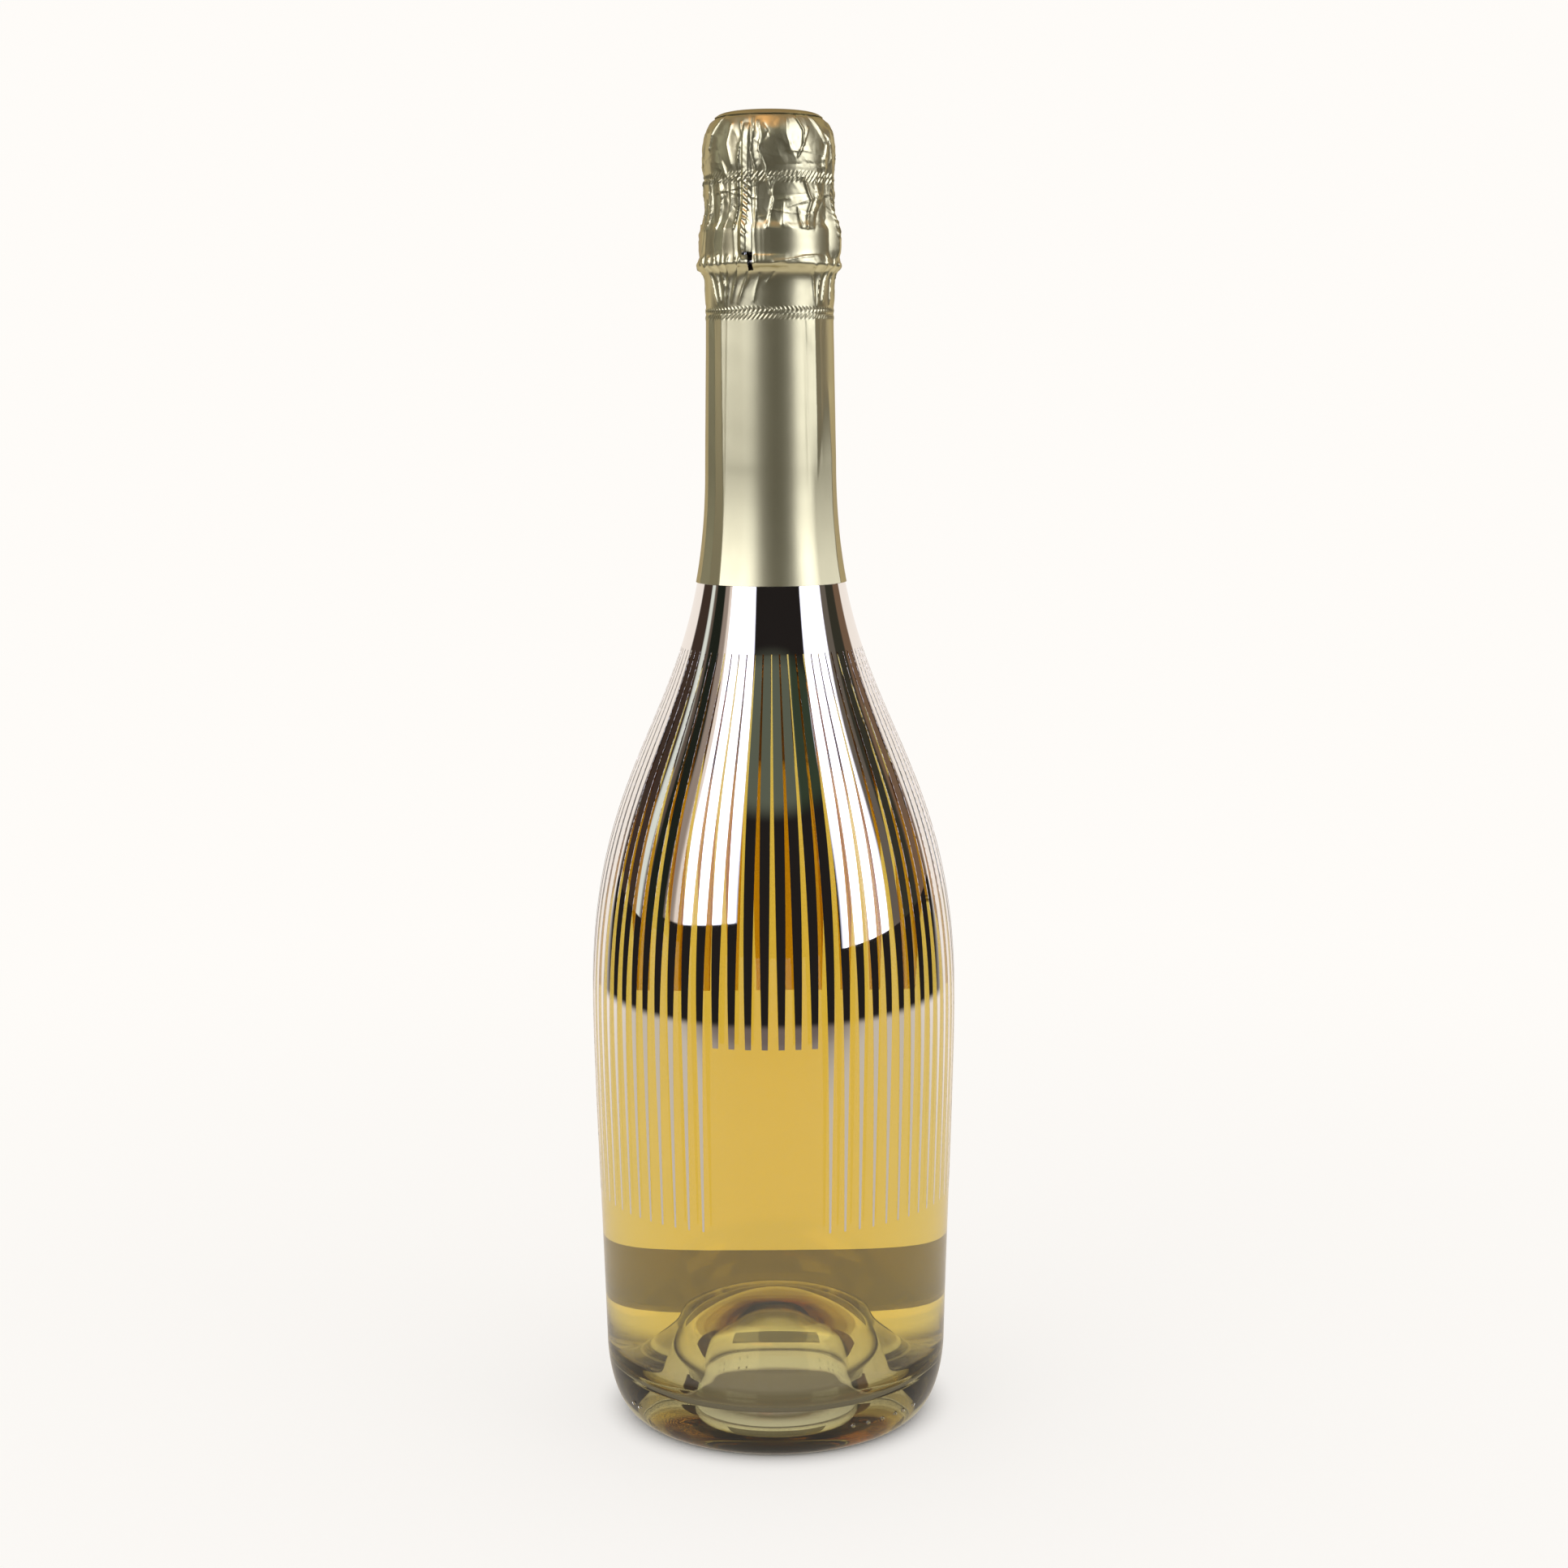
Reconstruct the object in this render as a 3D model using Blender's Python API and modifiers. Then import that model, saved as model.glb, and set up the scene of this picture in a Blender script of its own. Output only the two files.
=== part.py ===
"""Sparkling wine bottle: glass, wine, two-disc cork, wire cage and a torn-off foil capsule.

The bottle stands on +Z with its axis on the world Z axis and its base on z = 0.
The front is -Y and turns are counted from the front towards +X. Units are metres.
"""

import math

import bpy
from mathutils import Matrix, Vector

# Glass body
BODY_RADIUS = 0.04455
HEEL_TOP_RADIUS = 0.0423
HEEL_HEIGHT = 0.019
HEEL_DEPTH = 0.0075
BEARING_WIDTH = 0.0033
WIDEST_HEIGHT = 0.104
WALL = 0.0037
FLOOR_HEIGHT = 0.011
INNER_HEEL = 0.008
PUNT_DEPTH = 0.0315
PUNT_CROWN_GLASS = 0.003
PUNT_SHARES = ((1.0, 0.0), (0.76, 0.08), (0.63, 0.2), (0.575, 0.368), (0.545, 0.537),
               (0.475, 0.73), (0.37, 0.863), (0.19, 0.975), (0.0, 1.0))
FLOOR_SHARES = ((0.0, 1.0), (0.27, 0.955), (0.51, 0.77), (0.59, 0.54), (0.71, 0.33), (0.86, 0.08))
BODY_SWELL_SHARES = ((0.42, 0.40), (0.78, 1.0))

# Shoulder and neck
NECK_LENGTH = 0.0632
SHOULDER_LOW_SHARE = 0.499
SHOULDER_HIGH_SHARE = 0.474
NECK_FOOT_RADIUS = 0.01535
NECK_TOP_RADIUS = 0.0146
NECK_FOOT_BORE = 0.0100
MOUTH_BORE = 0.0090

# Finish: the ring that holds the cage, and the bead of the mouth
GLASS_HEIGHT = 0.298
BEAD_RADIUS = 0.0141
BEAD_HEIGHT = 0.0075
BEAD_ROUND = 0.0009
RING_RADIUS = 0.0161
RING_HEIGHT = 0.0065
RING_DROP = 0.0090
RING_ROUND = 0.0014

# Contents
FILL_DROP = 0.069

# Cork
CORK_IN_NECK = 0.024
CORK_DISC_THICKNESS = 0.0055
CORK_HEAD_RADIUS = 0.0142
CORK_HEAD_HEIGHT = 0.0152
CORK_CROWN_SHARES = ((0.67, 0.98), (0.83, 0.91), (0.94, 0.78))
CORK_SIDE_SHARES = ((0.99, 0.61), (1.0, 0.44), (0.99, 0.2), (0.95, 0.06), (0.89, 0.0))

# Cap plate
PLATE_THICKNESS = 0.0003

# Wire cage
STRAND_RADIUS = 0.00030
STRAND_OFFSET = 0.00034
TWIST_LENGTH = 0.0078
TWIST_POINTS = 6
CROWN_RADIUS = 0.0080
CROWN_POINTS = 7
LEG_COUNT = 4
FIRST_LEG_TURN = math.radians(-20)
LEG_END_DROP = 0.0009
BELT_WIRE_RADIUS = 0.00045
BELT_DROP = 0.0012

# Twist loop
LOOP_TURN = math.radians(205)
LOOP_STEM = 0.0066
LOOP_STEM_TURNS = 1.5
LOOP_EYE_LENGTH = 0.0088
LOOP_EYE_HALF_WIDTH = 0.0036
LOOP_LEAN = 0.0011
LOOP_STEM_POINTS = 10
LOOP_EYE_POINTS = 18

# Foil capsule
FOIL_THICKNESS = 0.00015
FOIL_GAP = 0.00025
TEAR_GAP = 0.0003
SLEEVE_LENGTH = 0.0632
LOWER_TEAR_DROP = 0.0283
UPPER_TEAR_RISE = 0.0025
HOOD_SIDE_STAND = 0.00115
HOOD_OPENING_SHARE = 0.62
BELT_FLARE = 0.0010
FLARE_FALL = 0.0024
RIDGE_TURN = math.radians(5)
PLEAT_TURNS = (math.radians(-45), math.radians(60))
PLEAT_RISE = 0.00035
PLEAT_TURN = math.radians(4)
LOOP_BULGE_TURN = math.radians(17)
LOOP_BULGE_FADE = math.radians(9)
DISC_RADIUS_SHARE = 0.93

# Fits and facets
FIT_GAP = 0.0003
GLASS_STEPS = 48
CORK_STEPS = 36
FOIL_STEPS = 72
CURVE_POINTS = 11
HEEL_POINTS = 5
MERGE_DISTANCE = 0.00001

SHOULDER_TOP = GLASS_HEIGHT - NECK_LENGTH
FILL_HEIGHT = GLASS_HEIGHT - FILL_DROP
UPPER_TEAR_HEIGHT = GLASS_HEIGHT + UPPER_TEAR_RISE
LOWER_TEAR_HEIGHT = GLASS_HEIGHT - LOWER_TEAR_DROP
SLEEVE_RIM_HEIGHT = LOWER_TEAR_HEIGHT - SLEEVE_LENGTH
RING_TOP = GLASS_HEIGHT - RING_DROP
RING_BOTTOM = RING_TOP - RING_HEIGHT
BELT_HEIGHT = RING_BOTTOM - BELT_DROP
BELT_RADIUS = NECK_TOP_RADIUS + FIT_GAP + BELT_WIRE_RADIUS
PAIR_RADIUS = STRAND_OFFSET + STRAND_RADIUS
CORK_SEAT = GLASS_HEIGHT + FIT_GAP
CORK_BOTTOM = GLASS_HEIGHT - CORK_IN_NECK


def bezier(corners, points):
    """Points along a cubic curve through the first and last of four corners."""
    a, b, c, d = (Vector(corner) for corner in corners)
    curve = []
    for step in range(points):
        t = step / (points - 1)
        u = 1 - t
        curve.append(tuple(a * u ** 3 + b * 3 * u * u * t + c * 3 * u * t * t + d * t ** 3))
    return curve


def quarter(centre, across, up, points, start=0.0):
    """A quarter of an ellipse, from the side of its centre to above or below it."""
    arc = []
    for step in range(points):
        turn = math.radians(start) + math.pi / 2 * step / (points - 1)
        arc.append((centre[0] + across * math.cos(turn), centre[1] + up * math.sin(turn)))
    return arc


def offset(outline, distances):
    """Move an outline to its left side by one distance, or by a distance for each point."""
    moved = []
    for index, (radius, height) in enumerate(outline):
        before = Vector(outline[max(index - 1, 0)])
        after = Vector(outline[min(index + 1, len(outline) - 1)])
        along = (after - before).normalized()
        distance = distances[index] if isinstance(distances, list) else distances
        moved.append((radius + along.y * -distance, height + along.x * distance))
    return moved


def between(value, table):
    """Read a table of (place, value) rows, sorted by place, at a place between its rows."""
    if value <= table[0][0]:
        return table[0][1]
    for (low, first), (high, last) in zip(table, table[1:]):
        if value <= high:
            return first + (last - first) * (value - low) / (high - low)
    return table[-1][1]


def point_at(turn, radius, height):
    """A world point at a turn from the front, at a radius and a height."""
    return Vector((radius * math.sin(turn), -radius * math.cos(turn), height))


def turn_of(point):
    """The turn of a point from the front, from -pi to pi."""
    return math.atan2(point.x, -point.y)


def turn_between(first, second):
    """The unsigned turn between two turns."""
    return abs((first - second + math.pi) % (2 * math.pi) - math.pi)


def material(name, colour, roughness, metallic=0.0, transmission=0.0):
    """A Principled material."""
    made = bpy.data.materials.new(name)
    made.use_nodes = True
    shader = made.node_tree.nodes["Principled BSDF"]
    shader.inputs["Base Color"].default_value = (*colour, 1.0)
    shader.inputs["Roughness"].default_value = roughness
    shader.inputs["Metallic"].default_value = metallic
    shader.inputs["Transmission Weight"].default_value = transmission
    made.diffuse_color = (*colour, 1.0)
    return made


def place(item, collection, surface=None, parent=None):
    """Put an object in the part's collection with its material and its parent."""
    if surface:
        item.data.materials.append(surface)
    for old in list(item.users_collection):
        old.objects.unlink(item)
    collection.objects.link(item)
    if parent:
        item.parent = parent
        item.matrix_parent_inverse = Matrix.Translation(parent.location).inverted()
    return item


def evaluated_mesh(item):
    """The mesh of an object after its modifiers or its curve bevel."""
    graph = bpy.context.evaluated_depsgraph_get()
    graph.update()
    return bpy.data.meshes.new_from_object(item.evaluated_get(graph), depsgraph=graph)


def turned(name, outline, steps, closed):
    """Turn an outline of (radius, height) points round the bottle's axis."""
    mesh = bpy.data.meshes.new(name)
    edges = [(index, index + 1) for index in range(len(outline) - 1)]
    if closed:
        edges.append((len(outline) - 1, 0))
    mesh.from_pydata([(radius, 0, height) for radius, height in outline], edges, [])
    item = bpy.data.objects.new(name, mesh)
    bpy.context.scene.collection.objects.link(item)
    screw = item.modifiers.new("turn", "SCREW")
    screw.steps = steps
    screw.render_steps = steps
    screw.use_merge_vertices = True
    screw.merge_threshold = MERGE_DISTANCE
    screw.use_normal_calculate = False
    return item


def pushed(item, push):
    """Bake the turned shape and push each point outwards by push(turn, height, radius)."""
    mesh = evaluated_mesh(item)
    item.modifiers.clear()
    item.data = mesh
    for vertex in mesh.vertices:
        radius = math.hypot(vertex.co.x, vertex.co.y)
        if radius > MERGE_DISTANCE:
            rise = push(turn_of(vertex.co), vertex.co.z, radius)
            vertex.co.x *= 1 + rise / radius
            vertex.co.y *= 1 + rise / radius
    return item


def wire(name, points, radius):
    """A round wire along a list of points, with closed ends."""
    curve = bpy.data.curves.new(name, "CURVE")
    curve.dimensions = "3D"
    curve.bevel_depth = radius
    curve.bevel_resolution = 1
    curve.use_fill_caps = True
    spline = curve.splines.new("POLY")
    spline.points.add(len(points) - 1)
    for target, point in zip(spline.points, points):
        target.co = (*point, 1.0)
    item = bpy.data.objects.new(name, curve)
    bpy.context.scene.collection.objects.link(item)
    return item


def glass_outside():
    """The outer outline of the glass, from the mouth down to the middle of the punt."""
    low_bead = GLASS_HEIGHT - BEAD_HEIGHT
    outline = [
        (BEAD_RADIUS - BEAD_ROUND, GLASS_HEIGHT),
        (BEAD_RADIUS, GLASS_HEIGHT - BEAD_ROUND),
        (BEAD_RADIUS, low_bead),
        (RING_RADIUS - RING_ROUND, RING_TOP),
        (RING_RADIUS, RING_TOP - RING_ROUND),
        (RING_RADIUS, RING_BOTTOM + RING_ROUND),
        (RING_RADIUS - RING_ROUND, RING_BOTTOM),
        (NECK_TOP_RADIUS, RING_BOTTOM - FIT_GAP),
    ]
    outline += shoulder(BODY_RADIUS, NECK_FOOT_RADIUS)
    outline += body_side(HEEL_TOP_RADIUS, BODY_RADIUS, HEEL_HEIGHT)[1:]
    bearing = HEEL_TOP_RADIUS - HEEL_DEPTH
    heel = quarter((bearing, HEEL_HEIGHT), HEEL_DEPTH, -HEEL_HEIGHT, HEEL_POINTS)
    outline += heel[1:]
    edge = bearing - BEARING_WIDTH
    outline += [(edge * across, PUNT_DEPTH * up) for across, up in PUNT_SHARES]
    return outline


def shoulder(low_radius, high_radius):
    """The S curve from the neck's foot down to the widest place."""
    reach = SHOULDER_TOP - WIDEST_HEIGHT
    return bezier((
        (high_radius, SHOULDER_TOP),
        (high_radius, SHOULDER_TOP - SHOULDER_HIGH_SHARE * reach),
        (low_radius, WIDEST_HEIGHT + SHOULDER_LOW_SHARE * reach),
        (low_radius, WIDEST_HEIGHT),
    ), CURVE_POINTS)


def neck_radius(height):
    """The outer radius of the glass at a height on its shoulder or its neck."""
    slope = [(up, radius) for radius, up in glass_outside() if WIDEST_HEIGHT < up < RING_BOTTOM]
    return between(height, sorted(slope))


def body_side(low_radius, high_radius, foot):
    """The slightly swelling side from the widest place down to a foot height."""
    rise = WIDEST_HEIGHT - foot
    spread = high_radius - low_radius
    (low_up, low_out), (high_up, high_out) = BODY_SWELL_SHARES
    return bezier((
        (high_radius, WIDEST_HEIGHT),
        (low_radius + high_out * spread, foot + high_up * rise),
        (low_radius + low_out * spread, foot + low_up * rise),
        (low_radius, foot),
    ), HEEL_POINTS)


def glass_inside():
    """The inner outline of the glass, from the middle of the floor up to the mouth."""
    wall_foot = HEEL_TOP_RADIUS - WALL
    low_radius = wall_foot - INNER_HEEL
    crown = PUNT_DEPTH + PUNT_CROWN_GLASS
    rise = crown - FLOOR_HEIGHT
    outline = [(low_radius * across, FLOOR_HEIGHT + rise * up) for across, up in FLOOR_SHARES]
    centre = (low_radius, FLOOR_HEIGHT + INNER_HEEL)
    heel = quarter(centre, INNER_HEEL, -INNER_HEEL, HEEL_POINTS)
    outline += heel[::-1]
    side = body_side(wall_foot, BODY_RADIUS - WALL, FLOOR_HEIGHT + INNER_HEEL)
    outline += side[::-1][1:]
    outline += shoulder(BODY_RADIUS - WALL, NECK_FOOT_BORE)[::-1][1:]
    outline.append((MOUTH_BORE, CORK_BOTTOM))
    outline.append((MOUTH_BORE, GLASS_HEIGHT))
    return outline


def wine_outline():
    """The wine's outline from the middle of its surface down to the middle of the floor."""
    inside = [point for point in glass_inside() if point[1] < FILL_HEIGHT]
    fitted = offset(inside, FIT_GAP)
    fitted[0] = (0, fitted[0][1])
    surface = between(FILL_HEIGHT, [(height, radius) for radius, height in glass_inside()[-4:]])
    return [(0, FILL_HEIGHT), (surface - FIT_GAP, FILL_HEIGHT)] + fitted[::-1]


def cork_head_outline():
    """The mushroom head's outline from the middle of its top down to its underside."""
    head = [(0, CORK_SEAT + CORK_HEAD_HEIGHT)]
    for across, up in CORK_CROWN_SHARES + CORK_SIDE_SHARES:
        head.append((CORK_HEAD_RADIUS * across, CORK_SEAT + CORK_HEAD_HEIGHT * up))
    return head


def crown_length():
    """How many points of the head's outline belong to its rounded top, under the cap plate."""
    return 1 + len(CORK_CROWN_SHARES)


def leg_path():
    """The middle line of one cage leg as (radius, height), from the crown down to its end."""
    head = cork_head_outline()
    over_plate = FIT_GAP + PLATE_THICKNESS + FIT_GAP
    crown_height = head[0][1] + over_plate + STRAND_RADIUS
    stand = over_plate + PAIR_RADIUS
    path = [(CROWN_RADIUS, crown_height)]
    path += offset(head, stand)[1:crown_length()]
    side = CORK_HEAD_RADIUS + FIT_GAP + PAIR_RADIUS
    outside_ring = RING_RADIUS + FIT_GAP + PAIR_RADIUS
    path.append((side, head[crown_length() + 1][1]))
    path.append((side, GLASS_HEIGHT - BEAD_HEIGHT / 2))
    path.append((outside_ring, RING_TOP))
    path.append((outside_ring, BELT_HEIGHT - LEG_END_DROP))
    return path


def leg_frames():
    """Even steps down one leg: the middle point, the direction out of the leg and the share."""
    path = [Vector(point) for point in leg_path()]
    lengths = [(second - first).length for first, second in zip(path, path[1:])]
    total = sum(lengths)
    count = round(total / TWIST_LENGTH * TWIST_POINTS)
    frames = []
    for step in range(count + 1):
        left = total * step / count
        index = 0
        while index < len(lengths) - 1 and left > lengths[index]:
            left -= lengths[index]
            index += 1
        along = (path[index + 1] - path[index]).normalized()
        frames.append((path[index] + along * left, Vector((-along.y, along.x)), step))
    return frames


def leg_strand(turn, side):
    """One strand of the twisted pair that makes a leg, from the crown down."""
    across = Vector((math.cos(turn), math.sin(turn), 0))
    points = []
    for middle, out, step in leg_frames():
        phase = 2 * math.pi * step / TWIST_POINTS
        outwards = STRAND_OFFSET * side * math.sin(phase)
        sideways = STRAND_OFFSET * side * math.cos(phase)
        place_out = middle + out * outwards
        points.append(point_at(turn, place_out.x, place_out.y) + across * sideways)
    return points


def cage_wire_points(number):
    """One cage wire: up a leg, round its quarter of the crown and down the next leg."""
    first = FIRST_LEG_TURN + 2 * math.pi * number / LEG_COUNT
    last = first + 2 * math.pi / LEG_COUNT
    rising = leg_strand(first, 1)[::-1]
    falling = leg_strand(last, -1)
    height = leg_path()[0][1]
    inset = STRAND_OFFSET / CROWN_RADIUS
    crown = []
    for step in range(1, CROWN_POINTS):
        turn = first + inset + (last - first - 2 * inset) * step / CROWN_POINTS
        crown.append(point_at(turn, CROWN_RADIUS, height))
    return rising + crown + falling


def loop_height():
    """The height at which the loop's stem leaves the belt."""
    return BELT_HEIGHT + BELT_WIRE_RADIUS


def loop_distance(rise):
    """How far out the loop lies at a rise over its hinge: straight by the ring, then leaning in."""
    outside_ring = RING_RADIUS + FIT_GAP + PAIR_RADIUS
    whole = LOOP_STEM + LOOP_EYE_LENGTH
    return outside_ring - LOOP_LEAN * max(0.0, rise / whole) ** 2


def loop_points():
    """The loop's wire: one strand up the stem, round the eye and the other strand down."""
    across = Vector((math.cos(LOOP_TURN), math.sin(LOOP_TURN), 0))

    def stem(side):
        strand = []
        for step in range(LOOP_STEM_POINTS + 1):
            share = step / LOOP_STEM_POINTS
            phase = 2 * math.pi * LOOP_STEM_TURNS * (share - 1)
            rise = LOOP_STEM * share
            out = loop_distance(rise) + STRAND_OFFSET * side * math.sin(phase)
            sideways = STRAND_OFFSET * side * math.cos(phase)
            strand.append(point_at(LOOP_TURN, out, loop_height() + rise) + across * sideways)
        return strand

    eye = []
    for step in range(1, LOOP_EYE_POINTS):
        turn = 2 * math.pi * step / LOOP_EYE_POINTS
        rise = LOOP_STEM + LOOP_EYE_LENGTH * (1 - math.cos(turn)) / 2
        sideways = STRAND_OFFSET * math.cos(turn / 2) + LOOP_EYE_HALF_WIDTH * math.sin(turn)
        middle = point_at(LOOP_TURN, loop_distance(rise), loop_height() + rise)
        eye.append(middle + across * sideways)
    return stem(1) + eye + stem(-1)[::-1]


def strip_outline():
    """The tear strip's inner outline, from the upper tear down to the lower one."""
    side = CORK_HEAD_RADIUS + HOOD_SIDE_STAND
    over_bead = BEAD_RADIUS + HOOD_SIDE_STAND
    over_ring = RING_RADIUS + FOIL_GAP
    flare = BELT_RADIUS + BELT_WIRE_RADIUS + BELT_FLARE
    leg_end = BELT_HEIGHT - LEG_END_DROP
    hug = NECK_TOP_RADIUS + FOIL_GAP
    low_edge = LOWER_TEAR_HEIGHT + TEAR_GAP / 2
    return [
        (side, UPPER_TEAR_HEIGHT - TEAR_GAP / 2),
        (over_bead, GLASS_HEIGHT - BEAD_HEIGHT / 2),
        (over_bead, GLASS_HEIGHT - BEAD_HEIGHT),
        (over_ring, RING_TOP),
        (over_ring, RING_BOTTOM + RING_ROUND),
        (flare, BELT_HEIGHT),
        (flare, leg_end - FOIL_GAP),
        (hug + FOIL_GAP, leg_end - FLARE_FALL),
        (neck_radius(leg_end - 2 * FLARE_FALL) + FOIL_GAP, leg_end - 2 * FLARE_FALL),
        (neck_radius(low_edge) + FOIL_GAP, low_edge),
    ]


def hood_outline():
    """The hood's inner outline, from its opening on top down to the upper tear."""
    head = cork_head_outline()
    top_stand = FIT_GAP + PLATE_THICKNESS + FIT_GAP + 2 * PAIR_RADIUS + FOIL_GAP
    over_plate = crown_length() + 1
    stands = [top_stand] * over_plate + [HOOD_SIDE_STAND] * (len(head) - over_plate)
    around = offset(head, stands)
    opening = CORK_HEAD_RADIUS * HOOD_OPENING_SHARE
    crown = (opening, head[0][1] + top_stand)
    side = [point for point in around[2:] if point[1] > UPPER_TEAR_HEIGHT + PLEAT_RISE]
    return [crown] + side + [(CORK_HEAD_RADIUS + HOOD_SIDE_STAND, UPPER_TEAR_HEIGHT + TEAR_GAP / 2)]


def sleeve_outline():
    """The sleeve's inner outline, from the lower tear down to its rim on the shoulder."""
    glass = [point for point in glass_outside() if point[1] > SLEEVE_RIM_HEIGHT]
    below = [point for point in glass if point[1] < LOWER_TEAR_HEIGHT - TEAR_GAP]
    rim = (neck_radius(SLEEVE_RIM_HEIGHT), SLEEVE_RIM_HEIGHT)
    top = (neck_radius(LOWER_TEAR_HEIGHT), LOWER_TEAR_HEIGHT - TEAR_GAP / 2)
    return [(radius + FOIL_GAP, height) for radius, height in [top] + below + [rim]]


def foil_shell(name, inner, push):
    """A foil sheet with an inner outline, pushed out where something lies under it."""
    outer = offset(inner, FOIL_THICKNESS)
    return pushed(turned(name, outer + inner[::-1], FOIL_STEPS, True), push)


def leg_ridge(base):
    """The push that lifts the foil off the legs and the loop, over an inner outline."""
    down = leg_path()[crown_length():]
    needs = [(height, radius + PAIR_RADIUS + FOIL_GAP) for radius, height in reversed(down)]
    bases = sorted((height, radius) for radius, height in base)
    lowest = BELT_HEIGHT - LEG_END_DROP - 2 * FOIL_GAP
    loop_top = loop_height() + LOOP_STEM + LOOP_EYE_LENGTH + PAIR_RADIUS + FOIL_GAP
    legs = [FIRST_LEG_TURN + 2 * math.pi * number / LEG_COUNT for number in range(LEG_COUNT)]

    def push(turn, height, radius):
        if height < lowest:
            return 0.0
        under = between(height, bases)
        near = min(turn_between(turn, leg) for leg in legs)
        leg_rise = max(0.0, between(height, needs) - under) * math.exp(-(near / RIDGE_TURN) ** 2)
        if height > needs[-1][0]:
            leg_rise = 0.0
        loop_rise = 0.0
        if height < loop_top:
            away = turn_between(turn, LOOP_TURN) - LOOP_BULGE_TURN
            fade = min(1.0, max(0.0, 1 - away / LOOP_BULGE_FADE))
            reach = math.hypot(loop_distance(0.0) + PAIR_RADIUS, LOOP_EYE_HALF_WIDTH)
            loop_rise = max(0.0, reach + FOIL_GAP - under) * fade
        return max(leg_rise, loop_rise)

    return push


def sleeve_pleats(turn, height, radius):
    """The two long folds that run down the sleeve, fading out at its rim."""
    share = (height - SLEEVE_RIM_HEIGHT) / (LOWER_TEAR_HEIGHT - SLEEVE_RIM_HEIGHT)
    near = min(turn_between(turn, pleat) for pleat in PLEAT_TURNS)
    return PLEAT_RISE * min(1.0, max(0.0, 2 * share)) * math.exp(-(near / PLEAT_TURN) ** 2)


def make_glass(collection):
    """The glass bottle: an open turned shell with a punt and a finish."""
    item = turned("glass_bottle", glass_inside() + glass_outside(), GLASS_STEPS, False)
    place(item, collection, material("clear_glass", (0.93, 0.96, 0.92), 0.02, transmission=1.0))


def make_wine(collection):
    """The wine up to its fill height."""
    item = turned("wine", wine_outline(), GLASS_STEPS, False)
    place(item, collection, material("pale_wine", (0.80, 0.64, 0.24), 0.02, transmission=0.9))


def make_cork(collection, parent):
    """The agglomerate cork with its mushroom head, and the two discs glued under it."""
    stem = MOUTH_BORE - FIT_GAP
    disc_step = CORK_DISC_THICKNESS + FIT_GAP
    body_bottom = CORK_BOTTOM + 2 * disc_step
    outline = cork_head_outline() + [(stem, CORK_SEAT), (stem, body_bottom), (0, body_bottom)]
    grain = material("cork_grain", (0.62, 0.43, 0.25), 0.85)
    place(turned("cork_body", outline, CORK_STEPS, False), collection, grain, parent)
    bark = material("cork_disc", (0.70, 0.50, 0.30), 0.85)
    for number, name in enumerate(("cork_disc_lower", "cork_disc_upper")):
        bottom = CORK_BOTTOM + number * disc_step
        top = bottom + CORK_DISC_THICKNESS
        disc = [(0, top), (stem, top), (stem, bottom), (0, bottom)]
        place(turned(name, disc, CORK_STEPS, False), collection, bark, parent)


def make_cage(collection, parent):
    """The cap plate, four wires twisted into legs, and the belt wire under the ring."""
    head = cork_head_outline()[:crown_length()]
    under = offset(head, FIT_GAP)
    over = offset(head, FIT_GAP + PLATE_THICKNESS)
    under[0] = (0, under[0][1])
    over[0] = (0, over[0][1])
    tin = material("cap_tinplate", (0.75, 0.68, 0.50), 0.3, metallic=1.0)
    plate = turned("cap_plate", over + under[::-1], CORK_STEPS, False)
    place(plate, collection, tin, parent)
    steel = material("cage_wire", (0.62, 0.62, 0.62), 0.3, metallic=1.0)
    for number in range(LEG_COUNT):
        item = wire(f"cage_wire_{number + 1}", cage_wire_points(number), STRAND_RADIUS)
        place(item, collection, steel, parent)
    bpy.ops.mesh.primitive_torus_add(
        major_radius=BELT_RADIUS, minor_radius=BELT_WIRE_RADIUS, major_segments=GLASS_STEPS,
        minor_segments=6, location=(0, 0, BELT_HEIGHT))
    belt = bpy.context.object
    belt.name = "cage_belt"
    place(belt, collection, steel, parent)


def make_loop(collection, parent):
    """The twist loop, folded up against the ring."""
    item = wire("twist_loop", loop_points(), STRAND_RADIUS)
    place(item, collection, material("loop_wire", (0.62, 0.62, 0.62), 0.3, metallic=1.0), parent)


def make_foil(collection, strip_parent, hood_parent):
    """The foil capsule: sleeve, tear strip, hood and the disc on top."""
    foil = material("champagne_foil", (0.60, 0.56, 0.40), 0.35, metallic=1.0)
    place(foil_shell("foil_sleeve", sleeve_outline(), sleeve_pleats), collection, foil)
    strip = strip_outline()
    place(foil_shell("tear_strip", strip, leg_ridge(strip)), collection, foil, strip_parent)
    hood = hood_outline()
    place(foil_shell("foil_hood", hood, leg_ridge(hood)), collection, foil, hood_parent)
    outer = offset(hood, FOIL_THICKNESS)
    edge = DISC_RADIUS_SHARE * outer[1][0]
    height = outer[0][1] + FOIL_GAP
    inner = [(0, height), (outer[0][0], height), (edge, between(edge, outer_slope(outer)) + FOIL_GAP)]
    disc = offset(inner, FOIL_THICKNESS)
    disc[0] = (0, height + FOIL_THICKNESS)
    item = turned("foil_top_disc", disc + inner[::-1], FOIL_STEPS, False)
    place(item, collection, foil, hood_parent)


def outer_slope(outer):
    """The hood's top as a table of height by radius."""
    return [(radius, height) for radius, height in outer[:3]]


def axis_empty(name, location, collection, parent=None):
    """An empty on a joint's axis, which carries the pieces that move with the joint."""
    item = bpy.data.objects.new(name, None)
    item.empty_display_size = CORK_HEAD_RADIUS
    item.location = location
    collection.objects.link(item)
    if parent:
        item.parent = parent
        item.matrix_parent_inverse = Matrix.Translation(parent.location).inverted()
    return item


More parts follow.
